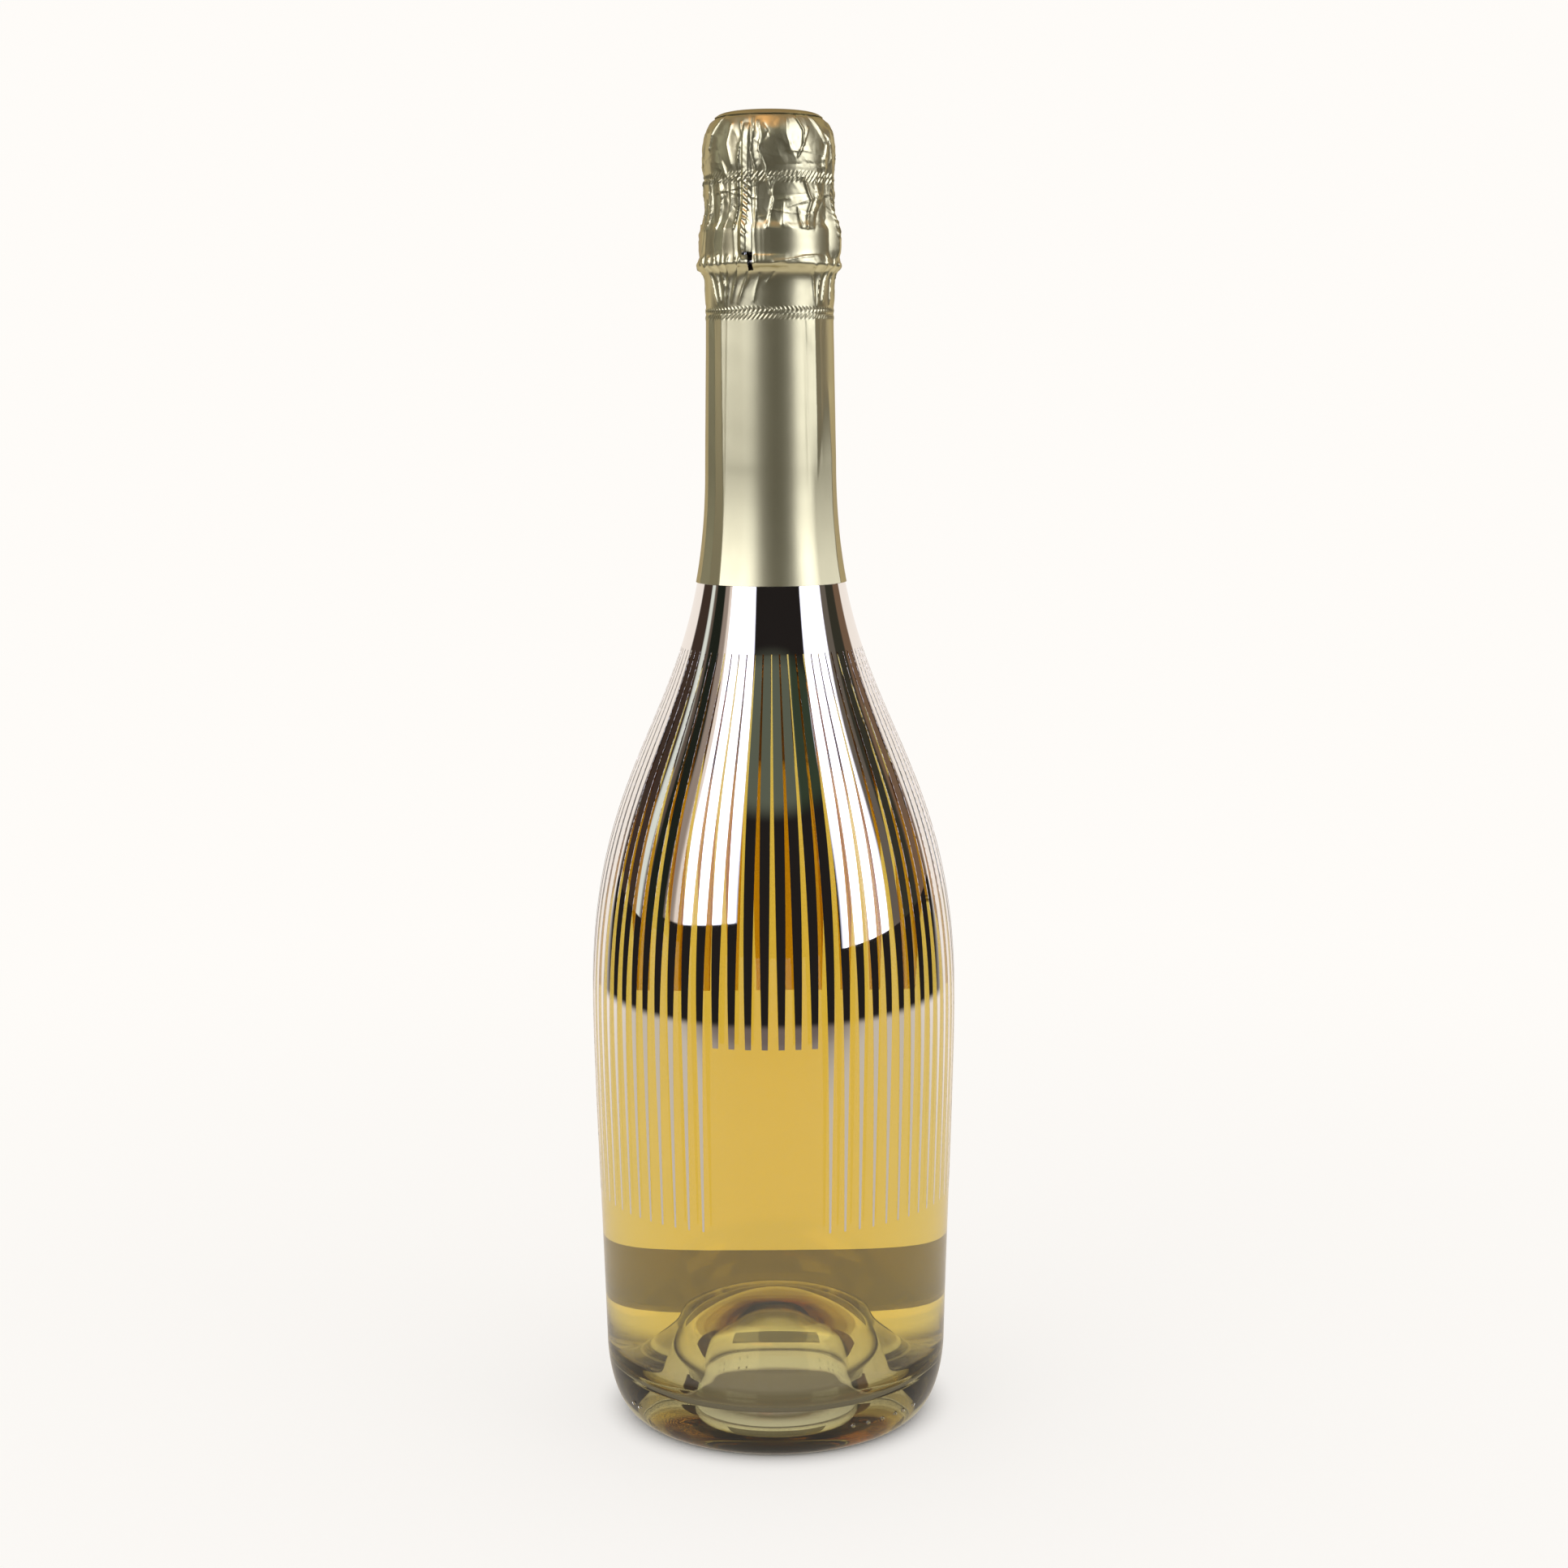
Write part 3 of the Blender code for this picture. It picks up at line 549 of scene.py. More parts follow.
def silver_stripes(surface):
    """The stripes that run down from the silver band and narrow on their way."""
    strips = []
    pitch = 2 * math.pi / STRIPE_COUNT
    for number in range(STRIPE_COUNT):
        middle = STRIPE_SHIFT + pitch * number
        foot = LONG_STRIPE_FOOT
        for (centre, half), short_foot in ((FRONT_PANEL, SHORT_STRIPE_FOOT), (BACK_PANEL, BACK_STRIPE_FOOT)):
            if abs(turn_between(middle, centre)) < half:
                foot = short_foot
        rows = coating_rows(foot, BAND_FOOT)
        heights, shares = zip(*STRIPE_SHARES)
        halves = np.interp(rows[:, 1], heights, shares) * pitch / 2
        strips.append((rows, middle - halves, middle + halves))
    return coating("silver_stripes", strips, STRIPE_COLUMNS, surface)


def silver_band(surface):
    """The solid silver round the shoulder's top, tucked under the sleeve's rim."""
    rows = coating_rows(BAND_FOOT, SLEEVE_RIM + BAND_TUCK)
    slopes = line_normals(rows)
    outer = rows + slopes * COAT_PROUD
    inner = rows - slopes * COAT_SUNK
    return turned("silver_band", outer.tolist() + inner[::-1].tolist(), GLASS_STEPS, surface, True)


def back_print(surface):
    """The plain pale panel low on the back of the glass."""
    rows = coating_rows(PRINT_FOOT, PRINT_TOP)
    starts = np.full(len(rows), math.pi - PRINT_HALF_TURN)
    return coating("back_print", [(rows, starts, starts + 2 * PRINT_HALF_TURN)], PRINT_COLUMNS, surface)


def heel_dots(surface):
    """Small raised dots in a row round the heel."""
    bottom = HEEL_TOP_RADIUS - HEEL_DEPTH
    share = (HEEL_HEIGHT - DOT_HEIGHT) / HEEL_HEIGHT
    radius = bottom + HEEL_DEPTH * math.sqrt(1 - share * share)
    points, faces = [], []
    for degrees in DOT_TURNS:
        base = len(points)
        middle = point_at(math.radians(degrees), radius, DOT_HEIGHT)
        for ring in range(DOT_RINGS + 1):
            lift = math.pi * ring / DOT_RINGS - math.pi / 2
            flat = math.cos(lift)
            for turn in turns_round(DOT_STEPS):
                away = Vector((math.cos(turn) * flat, math.sin(turn) * flat, math.sin(lift)))
                points.append(middle + away * DOT_RADIUS)
        for ring in range(DOT_RINGS):
            for step in range(DOT_STEPS):
                after = (step + 1) % DOT_STEPS
                a = base + ring * DOT_STEPS
                b = a + DOT_STEPS
                faces.append((a + step, a + after, b + after, b + step))
    return new_piece("heel_dots", points, faces, [surface])


def leg_line():
    """The middle line of a cage leg as (radius, height): over the plate, down, and round the belt."""
    crown_height = CORK_TOP + PLATE_GAP + PLATE_THICKNESS + PLATE_GAP + STRAND_RADIUS
    return flowing([
        (CROWN_RADIUS, crown_height),
        (0.0099, crown_height - 0.0001),
        (0.0124, crown_height - 0.0011),
        (0.0143, crown_height - 0.0033),
        (LEG_SIDE - 0.0001, crown_height - 0.0066),
        (LEG_SIDE, GLASS_HEIGHT + 0.0050),
        (LEG_SIDE, GLASS_HEIGHT - 0.0015),
        (LEG_SIDE + 0.0005, RING_TOP + 0.0036),
        (LEG_AT_RING - 0.0004, RING_TOP + 0.0010),
        (LEG_AT_RING, RING_TOP - 0.0012),
        (LEG_AT_RING, RING_BOTTOM + 0.0020),
        (LEG_AT_RING - 0.0003, RING_BOTTOM + 0.0004),
        (BELT_RADIUS + 0.00085, BELT_HEIGHT + 0.0002),
        (BELT_RADIUS + 0.0006, BELT_HEIGHT - 0.00055),
        (BELT_RADIUS + 0.00005, BELT_HEIGHT - 0.00085),
    ], LEG_PARTS)


def leg_strand(turn, side):
    """One strand of a leg's twisted pair, from its fork on the plate down to the belt."""
    line = evenly(leg_line(), TWIST_LENGTH / TWIST_PARTS)
    normals = line_normals(line)
    across = Vector((math.cos(turn), math.sin(turn), 0))
    twists = round(len(line) / TWIST_PARTS)
    strand = []
    for index, ((radius, height), (out, up)) in enumerate(zip(line, normals)):
        phase = 2 * math.pi * twists * index / (len(line) - 1)
        fork = max(0.0, (FORK_RADIUS - radius) / (FORK_RADIUS - CROWN_RADIUS)) ** 1.5 * CROWN_SPREAD
        lift = STRAND_OFFSET * side * math.sin(phase) if fork == 0 else 0.0
        aside = side * (STRAND_OFFSET * (math.cos(phase) if fork == 0 else 1) + fork)
        strand.append(point_at(turn, radius + out * lift, height + up * lift) + across * aside)
    return strand


def wire_piece(name, points, radius, surface, cyclic=False):
    """A round wire along points."""
    curve = bpy.data.curves.new(name, "CURVE")
    curve.dimensions = "3D"
    curve.bevel_depth = radius
    curve.bevel_resolution = 3
    curve.use_fill_caps = True
    spline = curve.splines.new("POLY")
    spline.points.add(len(points) - 1)
    spline.use_cyclic_u = cyclic
    for target, point in zip(spline.points, points):
        target.co = (*point, 1.0)
    curve.materials.append(surface)
    return linked(name, curve)


def cage_wire(number, surface):
    """A cage wire: up a leg, round its part of the crown and down the next leg."""
    first = LEG_TURNS[number]
    last = first + 2 * math.pi / LEG_COUNT
    rising = leg_strand(first, 1)[::-1]
    falling = leg_strand(last, -1)
    middle = (first + last) / 2
    height = rising[-1].z
    reach = rising[-1].xy.length
    crown = [point_at(middle + share * (last - first) / 2, reach, height) for share in CROWN_BEND]
    bend = flowing([rising[-3], rising[-1]] + crown + [falling[0], falling[2]], CROWN_PARTS)
    return wire_piece(f"cage_strand_{number + 1}", rising[:-3] + bend + falling[3:], STRAND_RADIUS, surface)


def loop_distance(rise):
    """How far out the loop lies at a rise over its hinge."""
    whole = LOOP_STEM + LOOP_EYE_LENGTH
    return LEG_AT_RING - LOOP_LEAN * np.maximum(0.0, rise / whole) ** 2


def loop_strand(side):
    """One strand of the loop's stem and its half of the eye, from the belt up."""
    across = Vector((math.cos(LOOP_TURN), math.sin(LOOP_TURN), 0))
    strand = []
    for step in range(STEM_PARTS):
        share = step / STEM_PARTS
        phase = 2 * math.pi * LOOP_STEM_TURNS * (share - 1)
        rise = LOOP_STEM * share
        out = loop_distance(rise) + STRAND_OFFSET * side * math.sin(phase)
        aside = STRAND_OFFSET * side * math.cos(phase)
        strand.append(point_at(LOOP_TURN, out, LOOP_FOOT + rise) + across * aside)
    for step in range(EYE_PARTS + 1):
        turn = math.pi * step / EYE_PARTS
        rise = LOOP_STEM + LOOP_EYE_LENGTH * (1 - math.cos(turn)) / 2
        aside = side * (STRAND_OFFSET * math.cos(turn / 2) + LOOP_EYE_HALF_WIDTH * math.sin(turn))
        strand.append(point_at(LOOP_TURN, loop_distance(rise), LOOP_FOOT + rise) + across * aside)
    return strand


def make_closure(looks):
    """The cork and its discs, the cap plate, the cage, its belt and the twist loop."""
    head = [Vector((0, CORK_TOP))]
    for across, up in CORK_HEAD_SHAPE:
        head.append(Vector((CORK_HEAD_RADIUS * across, CORK_SEAT + CORK_HEAD_HEIGHT * up)))
    crown = flowing(head, CORK_PARTS)
    stem = softened([tuple(head[-1]), (CORK_STEM_RADIUS, CORK_SEAT),
                     (CORK_STEM_RADIUS, CORK_FOOT), (0, CORK_FOOT)], CORK_EDGE)
    cork = turned("cork_stopper", crown + stem[1:], CORK_STEPS, looks["cork"])
    settle(cork, "cork", "cork", "cork_body")
    for name, node in (("cork_washer_upper", "cork_disc_upper"), ("cork_washer_lower", "cork_disc_lower")):
        low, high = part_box(node)
        disc = softened([(0, high.z), (CORK_STEM_RADIUS, high.z), (CORK_STEM_RADIUS, low.z), (0, low.z)],
                        CORK_DISC_EDGE)
        settle(turned(name, disc, CORK_STEPS, looks["cork_disc"]), "cork", "cork_disc", node)
    plate_top = CORK_TOP + PLATE_GAP + PLATE_THICKNESS
    plate = thin_plate("cap_tinplate", PLATE_SHAPE, plate_top, PLATE_SPACING, PLATE_THICKNESS, looks["tin"])
    settle(plate, "cage", "tinplate", "cap_plate")
    for number in range(LEG_COUNT):
        settle(cage_wire(number, looks["wire"]), "cage", "cage_wire", f"cage_wire_{number + 1}")
    ring = [point_at(turn, BELT_RADIUS, BELT_HEIGHT) for turn in turns_round(BELT_PARTS)]
    belt = wire_piece("cage_belt_wire", ring, BELT_WIRE_RADIUS, looks["wire"], cyclic=True)
    settle(belt, "cage", "cage_wire", "cage_belt")
    whole = loop_strand(1) + loop_strand(-1)[::-1][1:]
    handle = wire_piece("twist_handle", whole, STRAND_RADIUS, looks["wire"])
    settle(handle, "loop", "cage_wire", "twist_loop")


def thin_plate(name, shape, top, spacing, thickness, surface):
    """A thin round plate from the mm of its upper outline over a height."""
    over = evenly(flowing([(across * MM, top + up * MM) for across, up in shape], PLATE_PARTS), spacing)
    under = over - line_normals(over) * thickness
    over[0][0] = 0
    under[0][0] = 0
    return turned(name, over.tolist() + under[::-1].tolist(), GLASS_STEPS, surface)


def crease(across, height, rise, width, *path):
    """The rise of one sharp crease along a path of turns in degrees and heights in mm."""
    turns = np.radians(path[::2]) * FOIL_ROUND
    ups = np.array(path[1::2]) * MM
    nearest = np.full(np.broadcast(across, height).shape, 1.0)
    around = 2 * math.pi * FOIL_ROUND
    for u0, z0, u1, z1 in zip(turns, ups, turns[1:], ups[1:]):
        du = (across - u0 + around / 2) % around - around / 2
        dz = height - z0
        su, sz = u1 - u0, z1 - z0
        share = np.clip((du * su + dz * sz) / (su * su + sz * sz), 0, 1)
        nearest = np.minimum(nearest, np.hypot(du - share * su, dz - share * sz))
    return rise * MM * np.exp(-nearest / (width * MM))


def creased(across, height, rows):
    """The rise of all the creases of a table together."""
    return sum(crease(across, height, *row) for row in rows)


def facets(across, height, wide, tall, rise, seed):
    """Flat triangular facets of crumpled foil, between random heights on a warped lattice."""
    chance = np.random.default_rng(seed)
    around = 2 * math.pi * FOIL_ROUND
    count = round(around / (wide * MM))
    table = chance.uniform(-1, 1, (count, FACET_ROWS))
    warp_u = FACET_WARP * np.sin(height / MM / tall * 1.7 + 3 * across / FOIL_ROUND)
    warp_z = FACET_WARP * np.sin(5 * across / FOIL_ROUND + height / MM / tall)
    u = across / around * count + warp_u
    v = height / (tall * MM) + warp_z
    i, j = np.floor(u).astype(int), np.floor(v).astype(int)
    fu, fv = u - i, v - j
    (a, b), (c, d) = ([table[(i + p) % count, (j + q) % FACET_ROWS] for q in (0, 1)] for p in (0, 1))
    low = a + fu * (c - a) + fv * (b - a)
    high = d + (1 - fu) * (b - d) + (1 - fv) * (c - d)
    return rise * MM * np.where(fu + fv < 1, low, high)


def past(distance, reach):
    """Zero before a border, and one from a reach in mm past it."""
    return np.clip(distance / (reach * MM), 0, 1)


def band(height, low, high, soft):
    """One between two heights in mm, fading to zero over a soft distance."""
    return np.minimum(past(height - low * MM, soft), past(high * MM - height, soft))


def slashes(across, height, middle, half, lean, width, kind):
    """A row of short slanted cuts or, bent, of chevrons: their raised lips with the sunk foil between."""
    count = round(2 * math.pi * FOIL_ROUND / (TEAR_PITCH * MM))
    step = 2 * math.pi * FOIL_ROUND / count
    away = height - middle * MM
    slant = np.abs(away) if kind == "bent" else away
    place = (across - slant * lean) % step - step / 2
    lips = np.exp(-(place / (width * MM)) ** 2) - CUT_DEPTH
    return TEAR_RISE * lips * np.exp(-(away / (half * MM)) ** 4)


def random_creases(seed, count, low, high, lengths, rises, widths, lean, bare=()):
    """Creases at random places between two heights in mm, as rows of a rise, a width and a path."""
    chance = np.random.default_rng(seed)
    made = []
    for _ in range(count):
        turn, up = chance.uniform(-180, 180), chance.uniform(low, high)
        length, slope = chance.uniform(*lengths), chance.normal(0, lean)
        rise, width = chance.uniform(*rises) * chance.choice((-0.6, 1, 1)), chance.uniform(*widths)
        kink = chance.normal(0, 2.5)
        if any(start < turn < end for start, end in bare):
            continue
        path = (turn, up + length / 2, turn + slope + kink, up, turn + 2 * slope, up - length / 2)
        made.append((rise, width, *path))
    return made


def over_legs(turns, height, radius):
    """How far the foil is lifted by the legs, with the print of the twisted wires."""
    ups, outs = zip(*sorted((point.y, point.x) for point in leg_line() if point.x > FORK_RADIUS))
    fade = past(ups[-1] - height, 0.8) * past(height - BELT_HEIGHT + 1.6 * MM, 0.7)
    stand = np.maximum(0, np.interp(height, ups, outs) + PAIR_RADIUS + LOOSE_FOIL - radius) * fade
    clearness = ROPE_FAINT + (1 - ROPE_FAINT) * band(height, *ROPE_CLEAR)
    lift = np.zeros_like(stand)
    for leg, width in zip(LEG_TURNS, LEG_SKIRTS):
        aside = turn_between(turns, leg) * radius
        rope = ROPE_RISE * np.cos(2 * math.pi * (height / (TWIST_LENGTH / 2) + aside / ROPE_PITCH))
        rope = rope * np.exp(-(aside / ROPE_HALF_WIDTH) ** 4) * clearness
        skirt = (SKIRT_START + SKIRT_GROWTH * stand) * width * MM
        tent = np.clip(1 - np.maximum(0, np.abs(aside) - LEG_FLAT) / skirt, 0, 1)
        lift = np.maximum(lift, stand * tent + rope * fade * (tent > 0))
    return lift


def over_loop(turns, height, radius):
    """How far the foil is lifted by the folded twist loop."""
    rise = height - LOOP_FOOT
    whole = LOOP_STEM + LOOP_EYE_LENGTH
    aside = turn_between(turns, LOOP_TURN) * LEG_AT_RING
    eye = np.clip((rise - LOOP_STEM) / LOOP_EYE_LENGTH, 0, 1)
    half = LOOP_EYE_HALF_WIDTH * np.sqrt(np.maximum(0, 4 * eye * (1 - eye))) + PAIR_RADIUS
    out = np.hypot(loop_distance(np.clip(rise, 0, whole)) + PAIR_RADIUS, aside) + LOOP_SPACE
    stand = np.maximum(0, out - radius)
    skirt = np.clip(1 - np.maximum(0, np.abs(aside) - half) / LOOP_SKIRT, 0, 1)
    hollow = LOOP_HOLLOW * np.exp(-(aside / (0.5 * half)) ** 4) * (half > 2 * MM)
    ends = past(rise + 2.2 * MM, 1.2) * past(whole + 1.2 * MM - rise, 1.0)
    return (stand * skirt - hollow) * ends


def foil_sheet(name, rows, push, surfaces, hole=None):
    """A thin foil tube: rows of (radius, height) turned, pushed along their normals and lined."""
    turns = (np.arange(FOIL_COLUMNS) / FOIL_COLUMNS * 2 - 1)[None, :] * math.pi
    radius, height = rows[:, :1], rows[:, 1:]
    out, up = line_normals(rows)[:, :1], line_normals(rows)[:, 1:]
    rise = push(turns, height + 0 * turns, radius + 0 * turns)
    layers = []
    for level in (0, FOIL_THICKNESS):
        away = radius + out * (rise - level)
        layers.append(np.stack([away * np.sin(turns), -away * np.cos(turns),
                                height + up * (rise - level)], axis=-1).reshape(-1, 3))
    count = len(rows)
    cells = np.arange((count - 1) * FOIL_COLUMNS).reshape(count - 1, FOIL_COLUMNS)
    keep = np.ones(cells.shape, bool)
    if hole is not None:
        keep &= ~hole((turns + 0 * height)[:-1], (height + 0 * turns)[:-1])
    after = np.roll(cells, -1, axis=1)
    a, b, c, d = cells, cells + FOIL_COLUMNS, after + FOIL_COLUMNS, after
    shift = count * FOIL_COLUMNS
    faces = [np.stack([a, b, c, d], -1)[keep], np.stack([d, c, b, a], -1)[keep] + shift]
    above = np.vstack([np.zeros((1, FOIL_COLUMNS), bool), keep[:-1]])
    below = np.vstack([keep[1:], np.zeros((1, FOIL_COLUMNS), bool)])
    left, right = np.roll(keep, 1, axis=1), np.roll(keep, -1, axis=1)
    for beside, start, end in ((above, d, a), (below, b, c), (left, a, b), (right, c, d)):
        edge = keep & ~beside
        faces.append(np.stack([end[edge], start[edge], start[edge] + shift, end[edge] + shift], -1))
    item = new_piece(name, np.vstack(layers).tolist(), np.vstack(faces).tolist(), surfaces, FOIL_SHARP)
    mesh = item.data
    lining = np.zeros(len(mesh.polygons), np.int32)
    lining[len(faces[0]):len(faces[0]) + len(faces[1])] = 1
    mesh.polygons.foreach_set("material_index", lining)
    if hole is not None:
        drop_loose(mesh)
    return item


def drop_loose(mesh):
    """Remove the points that no face uses."""
    used = np.zeros(len(mesh.vertices), bool)
    corners = np.zeros(len(mesh.loops), np.int32)
    mesh.loops.foreach_get("vertex_index", corners)
    used[corners] = True
    work = bmesh.new()
    work.from_mesh(mesh)
    work.verts.ensure_lookup_table()
    bmesh.ops.delete(work, geom=[work.verts[index] for index in np.flatnonzero(~used)], context="VERTS")
    work.to_mesh(mesh)
    work.free()


# Facets of crumpled foil: their width, height and rise in mm, and a seed
STRIP_FACETS = ((3.4, 4.6, 0.18, 3), (1.9, 2.7, 0.13, 4))
HOOD_FACETS = ((4.2, 4.4, 0.22, 5), (2.0, 2.6, 0.14, 6))
# Random creases: a seed, their count, lowest and highest place, then the ranges of their lengths,
# rises and widths in mm, their lean in degrees and the turns between which there are none
STRIP_LONG = (21, 130, 290, 300, (4, 10), (0.12, 0.34), (0.2, 0.45), 3, ((-66, 66),))
STRIP_LOW = (22, 60, 276, 283, (2, 4), (0.10, 0.25), (0.2, 0.4), 3, ((-20, 66),))
STRIP_SMALL = (23, 70, 290, 300, (1, 3), (0.06, 0.14), (0.12, 0.25), 12)
HOOD_LONG = (31, 90, 302, 313, (5, 11), (0.14, 0.36), (0.22, 0.45), 3, ((-80, 70),))
HOOD_SMALL = (33, 60, 301, 312, (1, 3), (0.06, 0.14), (0.12, 0.25), 12)
SLEEVE_FAN = (41, 40, 264, 270, (3, 8), (0.02, 0.05), (0.3, 0.7), 1.5, ((-40, 30),))
FAN_SEED = 11
FAN_COUNT = 30
FAN_TOP = 281.2
FAN_MIDDLE = 277.5
FAN_BARE = (-75, 68)
# The tear's openings: between two turns in degrees and two heights in mm
TEAR_OPENINGS = ((-21.8, -13.6, 282.7, 283.5), (-17.6, -13.6, 279.4, 283.5))
# Creases seen in the photo: their rise and width in mm, then the turn and height of each point of
# their path in degrees and mm
HOOD_CREASES = [
    (0.45, 0.34, -48.6, 315.2, -58.7, 311.5, -64, 307.2),
    (-0.32, 0.40, -60, 307.9, -48.6, 306.5, -39, 302.8), (-0.24, 0.35, -54, 311.2, -41, 310.4),
    (0.26, 0.40, -36, 312.6, -39, 308.2, -34, 303.4),
    (0.36, 0.32, -26.9, 312.8, -23.5, 309.7, -26.9, 305.1, -25.9, 300.6),
    (0.30, 0.26, -14.5, 313.8, -13.8, 311.5, -15.5, 306.5, -11.5, 301.9),
    (0.32, 0.26, -9.8, 313.0, -7.5, 310.1, -8.4, 306.5, -3.7, 302.8, -2.9, 300.6),
    (-0.26, 0.28, -3.7, 312.4, 0.3, 310.8, -3.4, 308.9), (0.20, 0.22, -2.0, 311.2, 1.5, 309.4),
    (0.20, 0.80, 17.5, 313.6, 16.0, 310.0, 19.0, 306.8),
    (0.34, 0.28, 27.1, 314.3, 33.0, 311.0, 31.6, 307.9, 26.1, 305.1), (0.26, 0.28, 38.2, 311.6, 32.4, 308.3),
    (0.42, 0.34, 43.9, 314.9, 51.5, 312.0, 60.7, 307.9, 55.2, 304.7, 57.4, 301.0),
    (0.30, 0.30, 50.5, 313.8, 62.5, 310.6, 74, 305.1), (0.34, 0.40, 66, 309.0, 69, 301.0),
    (0.16, 0.45, 15, 306.2, 45, 306.6), (-0.22, 0.55, 0, 302.9, 25, 303.3, 52, 303.8),
    (0.26, 0.4, -76, 312, -80, 303), (0.24, 0.22, -45, 304.2, -40, 301.2),
]
STRIP_CREASES = [
    (0.42, 0.30, -27.9, 300.6, -26.9, 294.6, -29.8, 289.1, -27.9, 281.4),
    (0.36, 0.30, -10.8, 300.4, -11.5, 293, -12.0, 287, -10.6, 281.0),
    (0.36, 0.28, -2.0, 300.6, 3.1, 295.5, 0.5, 291.9, -2.0, 288.7), (0.28, 0.26, 4.5, 300.6, 1.4, 296.4),
    (0.18, 0.30, 8, 295.3, 19, 295.6), (0.22, 0.34, 12.5, 294.4, 11.0, 289.6),
    (0.26, 0.30, 26.2, 293.4, 28.0, 289.1),
    (0.38, 0.30, 32.0, 300.6, 36.1, 297.3, 39.3, 295.1, 36.1, 292.8, 33.0, 289.1),
    (0.34, 0.30, 45.0, 300.6, 47.6, 296.4, 41.6, 292.8),
    (-0.36, 0.40, 59.0, 300.6, 57.0, 296.4, 47.6, 292.8, 40.5, 288.4),
    (0.44, 0.34, -47.3, 299.8, -44.9, 295.5, -47.3, 291.0, -51.2, 285.9, -48.6, 280.9),
    (-0.26, 0.36, -38.5, 300.2, -36.5, 295.0, -39.0, 289.5), (0.36, 0.40, -64, 300.4, -62, 292, -73, 284),
    (-0.24, 0.34, -55.5, 300.2, -56.5, 294.5, -54.0, 288.6), (-0.18, 0.5, 2, 296.2, 33, 296.5),
    (0.26, 0.32, 3.5, 281.0, 20, 281.9, 45, 283.0), (0.16, 0.24, 52.5, 286.4, 60.7, 284.6, 60.7, 282.3),
    (0.36, 0.30, -60.5, 300.4, -58.5, 294.8, -63, 288.5, -66, 281),
    (0.32, 0.30, -34, 300.2, -34.5, 294.6, -39, 290.5, -42, 284.5, -40, 281),
    (0.32, 0.32, -68, 296, -72, 289, -74, 281), (0.07, 0.2, -7.4, 289, -6.8, 281.5),
    (0.07, 0.2, -4.2, 288.4, -3.6, 281.6), (0.06, 0.2, 0.6, 288.8, 1.4, 282.6),
]
FAN_FOLDS = [
    (0.48, 0.34, -67, 282.8, -59, 276.8, -53, 272.0), (0.44, 0.32, -56, 282.4, -51, 277.0, -48, 272.6),
    (0.48, 0.34, -46, 282.8, -42.5, 276.0, -44, 270.4), (0.42, 0.32, -35, 282.4, -38.5, 276.6, -40, 271.0),
    (0.40, 0.34, -24, 282.0, -31, 276.6, -35, 272.4), (0.30, 0.36, -17, 279.6, -23, 275.8, -28, 272.0),
    (0.16, 0.34, -8, 278.4, -12, 275.2, -14, 272.4), (0.14, 0.34, 4, 278.8, -2, 276.6),
    (0.34, 0.36, 40, 280.4, 42, 276.4, 44, 271.0), (0.44, 0.32, 53, 282.6, 49, 276.6, 47, 270.6),
    (0.46, 0.34, 66, 282.8, 57, 277.2, 54, 272.6),
]


def gathered(across, height):
    """The folds that fan down from the belt and fade above the lower tear."""
    chance = np.random.default_rng(FAN_SEED)
    folds = list(FAN_FOLDS)
    for number in range(FAN_COUNT):
        turn = -180 + 360 / FAN_COUNT * number + chance.normal(0, 2.5)
        slope = chance.normal(0, 3.5)
        foot = chance.uniform(271.2, 275.5)
        rise, width = chance.uniform(0.16, 0.42), chance.uniform(0.3, 0.55)
        if FAN_BARE[0] < turn < FAN_BARE[1]:
            continue
        folds.append((rise, width, turn, FAN_TOP, turn + slope * 0.6, FAN_MIDDLE, turn + slope, foot))
    return creased(across, height, folds)


def strip_push(turns, height, radius):
    """The rise of the tear strip over its plain turned shape: crumples, then the wires, then the cuts."""
    across = turns * FOIL_ROUND
    tight, smooth = band(height, *TIGHT_ZONE), band(height, *SMOOTH_ZONE)
    loose = 1 - 0.70 * tight - 0.70 * smooth
    lift = sum(facets(across, height, *row) for row in STRIP_FACETS)
    lift = lift * (1 - 0.80 * tight - 0.75 * smooth)
    extra, low, small = (random_creases(*row) for row in (STRIP_LONG, STRIP_LOW, STRIP_SMALL))
    lift = (lift + creased(across, height, STRIP_CREASES + extra + small)) * loose
    lift = lift + creased(across, height, low) * band(height, *LOW_ZONE)
    lift = lift + gathered(across, height) * past(height - FOLDS_END, 3)
    carried = np.maximum(over_legs(turns, height, radius), over_loop(turns, height, radius))
    lift = np.maximum(lift, 0.4 * lift + carried)
    lift = lift + slashes(across, height, *STRIP_UPPER_CUTS) + slashes(across, height, *STRIP_LOWER_CUTS)
    return np.maximum(lift, DEEPEST_DENT)


def hood_push(turns, height, radius):
    """The rise of the hood over its plain turned shape."""
    across = turns * FOIL_ROUND
    lift = sum(facets(across, height, *row) for row in HOOD_FACETS)
    extra, small = (random_creases(*row) for row in (HOOD_LONG, HOOD_SMALL))
    lift = lift + creased(across, height, HOOD_CREASES + extra + small)
    lift = lift * past(HOOD_BEND - height, 1.6)
    lift = np.maximum(lift, 0.45 * lift + over_legs(turns, height, radius))
    return np.maximum(lift + slashes(across, height, *HOOD_CUTS), DEEPEST_DENT)


def tear_hole(turns, height):
    """The small hooked tear by the front leg's end."""
    degrees, up = np.degrees(turns), height / MM
    torn = [(degrees > left) & (degrees < right) & (up > low) & (up < high)
            for left, right, low, high in TEAR_OPENINGS]
    return np.any(torn, axis=0)


